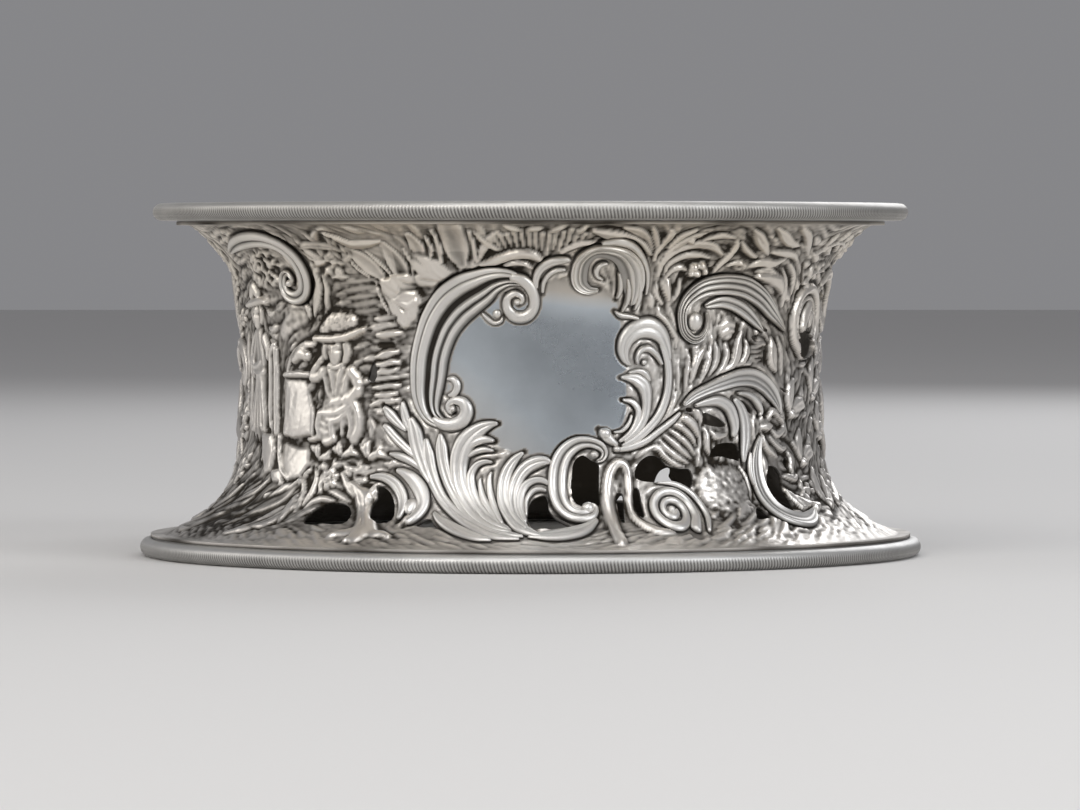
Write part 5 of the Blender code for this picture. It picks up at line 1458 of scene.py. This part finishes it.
def build_mount(name, material):
    """A mount's bars and beads joined in one piece."""
    bars = [make_bar(f"{name}_{k}", *bar) for k, bar in enumerate(MOUNTS[name])]
    bars += [make_bead(f"{name}_bead_{k}", *bead) for k, bead in enumerate(BEADS.get(name, []))]
    select_only(bars[0])
    for bar in bars:
        bar.select_set(True)
    if len(bars) > 1:
        bpy.ops.object.join()
    piece = bpy.context.object
    piece.data.materials.append(material)
    piece.name = piece.data.name = f"front_{name}_cast"
    finish_smooth(piece, 60)
    return piece


def copy_to_rear(piece, name):
    """The same mount on the back of the ring, half a turn round."""
    select_only(piece)
    bpy.ops.object.duplicate()
    rear = bpy.context.object
    rear.name = rear.data.name = f"rear_{name}_cast"
    rear.rotation_euler = (0, 0, pi)
    bpy.ops.object.transform_apply(location=False, rotation=True, scale=False)
    return rear


# The wires

def wire_section(radius, width, base, height, solder):
    """Points round a wire's section: (radius, height, angle on the half-round nose, or None on a flat).

    The bead of solder that joins it to the band runs between two radii, up or down to a height.
    """
    nose = height / 2
    edge = radius - width
    top = base + height
    section = []
    for k in range(13):
        turn = radians(-90 + 15 * k)
        section.append((radius - nose + nose * cos(turn), base + nose + nose * sin(turn), turn))
    flats = [(edge + WIRE_CHAMFER, top, None), (edge, top - WIRE_CHAMFER, None),
             (edge, base + WIRE_CHAMFER, None), (edge + WIRE_CHAMFER, base, None)]
    inner, outer, seam = solder
    face = top if seam > base else base
    bead = [(outer + SOLDER_SPREAD, face, None), (outer, seam, None), (inner, seam, None),
            (inner - SOLDER_SPREAD, face, None)]
    return section + (bead + flats if seam > base else flats + bead[::-1])


def build_wire(name, radius, width, base, height, solder, mills, material):
    """A wire with a half-round nose, milled with slanting ridges below its shoulder."""
    section = wire_section(radius, width, base, height, solder)
    around = mills * MILL_STEPS
    piece, major, minor = make_grid(name, around, len(section))
    minor = minor % len(section)
    reach, level = np.array([point[:2] for point in section]).T[:, minor]
    on_nose = np.array([point[2] is not None for point in section])[minor]
    turn = np.array([point[2] or 0.0 for point in section])[minor]
    milled = np.clip((0.42 - turn) * 4, 0, 1) * np.clip((turn + 1.5) * 4, 0, 1) * on_nose
    cut = milled * (0.5 - 0.5 * np.cos(2 * pi * major / MILL_STEPS + MILL_SLANT * turn))
    reach = reach - MILL_DEPTH * cut * np.cos(turn)
    level = level - MILL_DEPTH * cut * np.sin(turn)
    way = 2 * pi * major / around
    set_places(piece, np.stack([reach * np.cos(way), reach * np.sin(way), level], -1) * MM)
    set_numbers(piece, "patina_and_light", np.clip(0.2 + 0.7 * cut + 0.2 * ~on_nose, 0, 1))
    set_numbers(piece, "polish_and_reflection", np.zeros(len(major)))
    close_seams()
    piece.data.materials.append(material)
    finish_smooth(piece, 75)
    return piece


# Finishes

class Value:
    """A number that changes over a surface: arithmetic on it adds Math nodes."""

    def __init__(self, finish, socket):
        self.finish = finish
        self.socket = socket

    def work(self, operation, first, second):
        node = self.finish.node("ShaderNodeMath", {"operation": operation}, {0: first, 1: second})
        return Value(self.finish, node.outputs[0])

    def __add__(self, other):
        return self.work("ADD", self, other)

    __radd__ = __add__

    def __sub__(self, other):
        return self.work("SUBTRACT", self, other)

    def __rsub__(self, other):
        return self.work("SUBTRACT", other, self)

    def __mul__(self, other):
        return self.work("MULTIPLY", self, other)

    __rmul__ = __mul__

    def limited(self):
        node = self.finish.node("ShaderNodeClamp", {}, {"Value": self})
        return Value(self.finish, node.outputs[0])


class Finish:
    """A material's nodes, added one by one."""

    def __init__(self, name):
        self.material = bpy.data.materials.new(name)
        self.material.use_nodes = True
        self.tree = self.material.node_tree
        self.shader = self.tree.nodes["Principled BSDF"]

    def node(self, kind, settings, sockets):
        node = self.tree.nodes.new(kind)
        for key, value in settings.items():
            setattr(node, key, value)
        for key, value in sockets.items():
            self.join(value, node.inputs[key])
        return node

    def join(self, value, socket):
        if isinstance(value, Value):
            value = value.socket
        if isinstance(value, bpy.types.NodeSocket):
            self.tree.links.new(value, socket)
        else:
            socket.default_value = value

    def paint(self, **sockets):
        """Sets or links the shader's own sockets, named with underscores for spaces."""
        for name, value in sockets.items():
            self.join(value, self.shader.inputs[name.replace("_", " ")])

    def number(self, name):
        node = self.node("ShaderNodeAttribute", {"attribute_name": name}, {})
        return Value(self, node.outputs["Fac"])

    def place(self):
        return self.node("ShaderNodeTexCoord", {}, {}).outputs["Object"]

    def noise(self, scale, detail):
        sockets = {"Vector": self.place(), "Scale": scale, "Detail": detail}
        return Value(self, self.node("ShaderNodeTexNoise", {}, sockets).outputs["Fac"])

    def height(self):
        node = self.node("ShaderNodeSeparateXYZ", {}, {"Vector": self.place()})
        return Value(self, node.outputs["Z"])

    def blend(self, share, first, second):
        node = self.node("ShaderNodeMix", {"data_type": "RGBA"}, {"Factor": share, 6: first, 7: second})
        return node.outputs[2]


# The plate's blue-grey is the toning of its polished silver; pale and deep are the two ends of a painted
# reflection across it.
PLATE_PALE_REFLECTION = (0.56, 0.61, 0.65, 1)
PLATE_DEEP_REFLECTION = (0.32, 0.35, 0.38, 1)


def silver(name, bright, dull, roughness, tint):
    """Old silver: bright where it is rubbed, oxidised in its hollows, with painted shade and highlights
    carried in its patina numbers; warmer towards the rim by a tint, a painted warm reflection.
    """
    finish = Finish(name)
    patina_and_light = finish.number("patina_and_light")
    polish_and_reflection = finish.number("polish_and_reflection")
    cloud = finish.noise(90.0, 3.0) - 0.5
    grain = finish.noise(700.0, 2.0)
    dark = (patina_and_light + cloud * 0.25).limited()
    # Painted reflection: a warm tint that grows up the ring towards the rim, broken by noise.
    warm_reflection = (finish.height() * 26 - 1.25 + (finish.noise(30.0, 1.0) - 0.5) * 1.2).limited()
    warm = (bright[0], bright[1] * (1 - 0.35 * tint), bright[2] * (1 - tint), 1)
    worn = finish.blend(dark, finish.blend(warm_reflection, bright, warm), dull)
    # The plate's colour runs between the two by polish, a painted reflection.
    plate = finish.blend(((polish_and_reflection - 0.6) * 2 + cloud * 0.8).limited(), PLATE_PALE_REFLECTION, PLATE_DEEP_REFLECTION)
    finish.paint(Base_Color=finish.blend(((polish_and_reflection - 0.35) * 3.3).limited(), worn, plate), Metallic=1.0,
                 Roughness=(roughness + dark * 0.25 + (grain - 0.5) * 0.1 - polish_and_reflection * 0.12).limited())
    bump = finish.node("ShaderNodeBump", {}, {"Strength": 0.25, "Distance": 0.0002,
                                              "Height": grain * (1 - polish_and_reflection * 0.95)})
    finish.paint(Normal=bump.outputs["Normal"])
    return finish.material


# Stage

LAMPS = (               # name, place and size in metres, power in watts, colour
    ("key", (-0.6, -1.3, 0.95), 1.1, 9.2, (1, 0.98, 0.95)),
    ("left", (-1.4, 0.05, 0.55), 1.0, 3.6, (1, 0.97, 0.92)),
    ("side", (1.2, -1.0, 0.75), 0.9, 8, (0.96, 0.98, 1)),
    ("top", (0.15, -0.5, 1.5), 1.1, 5.4, (1, 1, 1)),
    ("rear", (0.55, 1.3, 0.85), 1.0, 6, (0.97, 0.98, 1)),
)
LAMP_AIM = 0.045        # metres above the floor
CAMERA_PLACE = (0, -1.534, 0.077)
CAMERA_DOWN = 1.478     # degrees
CAMERA_RIGHT = 0.089
LENS = 203.5
SENSOR = 36


def build_floor():
    """A wide pale floor."""
    select_none()
    bpy.ops.mesh.primitive_plane_add(size=12)
    floor = bpy.context.object
    floor.name = "floor"
    finish = Finish("pale_floor")
    finish.paint(Base_Color=(0.72, 0.71, 0.7, 1), Roughness=0.7)
    floor.data.materials.append(finish.material)
    floor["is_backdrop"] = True


def build_lamps():
    """Soft round lamps that face the ring, in a grey room."""
    world = bpy.data.worlds.new("studio")
    world.use_nodes = True
    world.node_tree.nodes["Background"].inputs["Color"].default_value = (0.24, 0.24, 0.25, 1)
    world.node_tree.nodes["Background"].inputs["Strength"].default_value = 1.0
    bpy.context.scene.world = world
    for name, place, size, power, colour in LAMPS:
        lamp = bpy.data.lights.new(name, "AREA")
        lamp.shape = "DISK"
        lamp.size = size
        lamp.energy = power
        lamp.color = colour
        holder = bpy.data.objects.new(name, lamp)
        bpy.context.scene.collection.objects.link(holder)
        holder.location = place
        x, y, z = place
        holder.rotation_euler = (0, atan2(hypot(x, y), z - LAMP_AIM), atan2(y, x))


def build_camera():
    """The photograph's viewpoint."""
    camera = bpy.data.objects.new("camera", bpy.data.cameras.new("camera"))
    bpy.context.scene.collection.objects.link(camera)
    camera.data.lens = LENS
    camera.data.sensor_width = SENSOR
    camera.data.clip_start = 0.05
    camera.data.clip_end = 50
    camera.location = CAMERA_PLACE
    camera.rotation_euler = (radians(90 - CAMERA_DOWN), 0, radians(-CAMERA_RIGHT))
    bpy.context.scene.camera = camera
    bpy.context.scene.view_settings.view_transform = "Standard"


# The ring

# Each finish's last number is the share of its painted warm reflection.
band_silver = silver("band_silver", (0.89, 0.85, 0.8, 1), (0.045, 0.038, 0.03, 1), 0.35, 0.12)
wire_silver = silver("wire_silver", (0.81, 0.8, 0.78, 1), (0.05, 0.045, 0.04, 1), 0.44, 0.03)
mount_silver = silver("mount_silver", (0.88, 0.86, 0.83, 1), (0.05, 0.044, 0.038, 1), 0.41, 0.09)

band = Band()
for number in range(1, SECTORS + 1):
    sector = build_sector(band, number, band_silver)
    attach(sector, "root")
    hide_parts("band")

rim_base = HEIGHT - RIM_WIRE_HEIGHT
for node, *sizes in (
        ("rim_wire", RIM_RADIUS, RIM_WIRE_WIDTH, rim_base, RIM_WIRE_HEIGHT, RIM_SOLDER, RIM_MILLS),
        ("foot_wire", FOOT_RADIUS, FOOT_WIRE_WIDTH, 0, FOOT_WIRE_HEIGHT, FOOT_SOLDER, FOOT_MILLS)):
    wire = build_wire(f"{node}_milled", *sizes, wire_silver)
    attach(wire, "root")
    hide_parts(node)

for name in MOUNTS:
    front = build_mount(name, mount_silver)
    for side, piece in (("front", front), ("rear", copy_to_rear(front, name))):
        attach(piece, "root")
        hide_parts(f"{side}_{name}")

build_floor()
build_lamps()
build_camera()
bpy.context.view_layer.update()
sizes = [[list(corner) for corner in bounds] for bounds in (packed_bounds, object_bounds())]
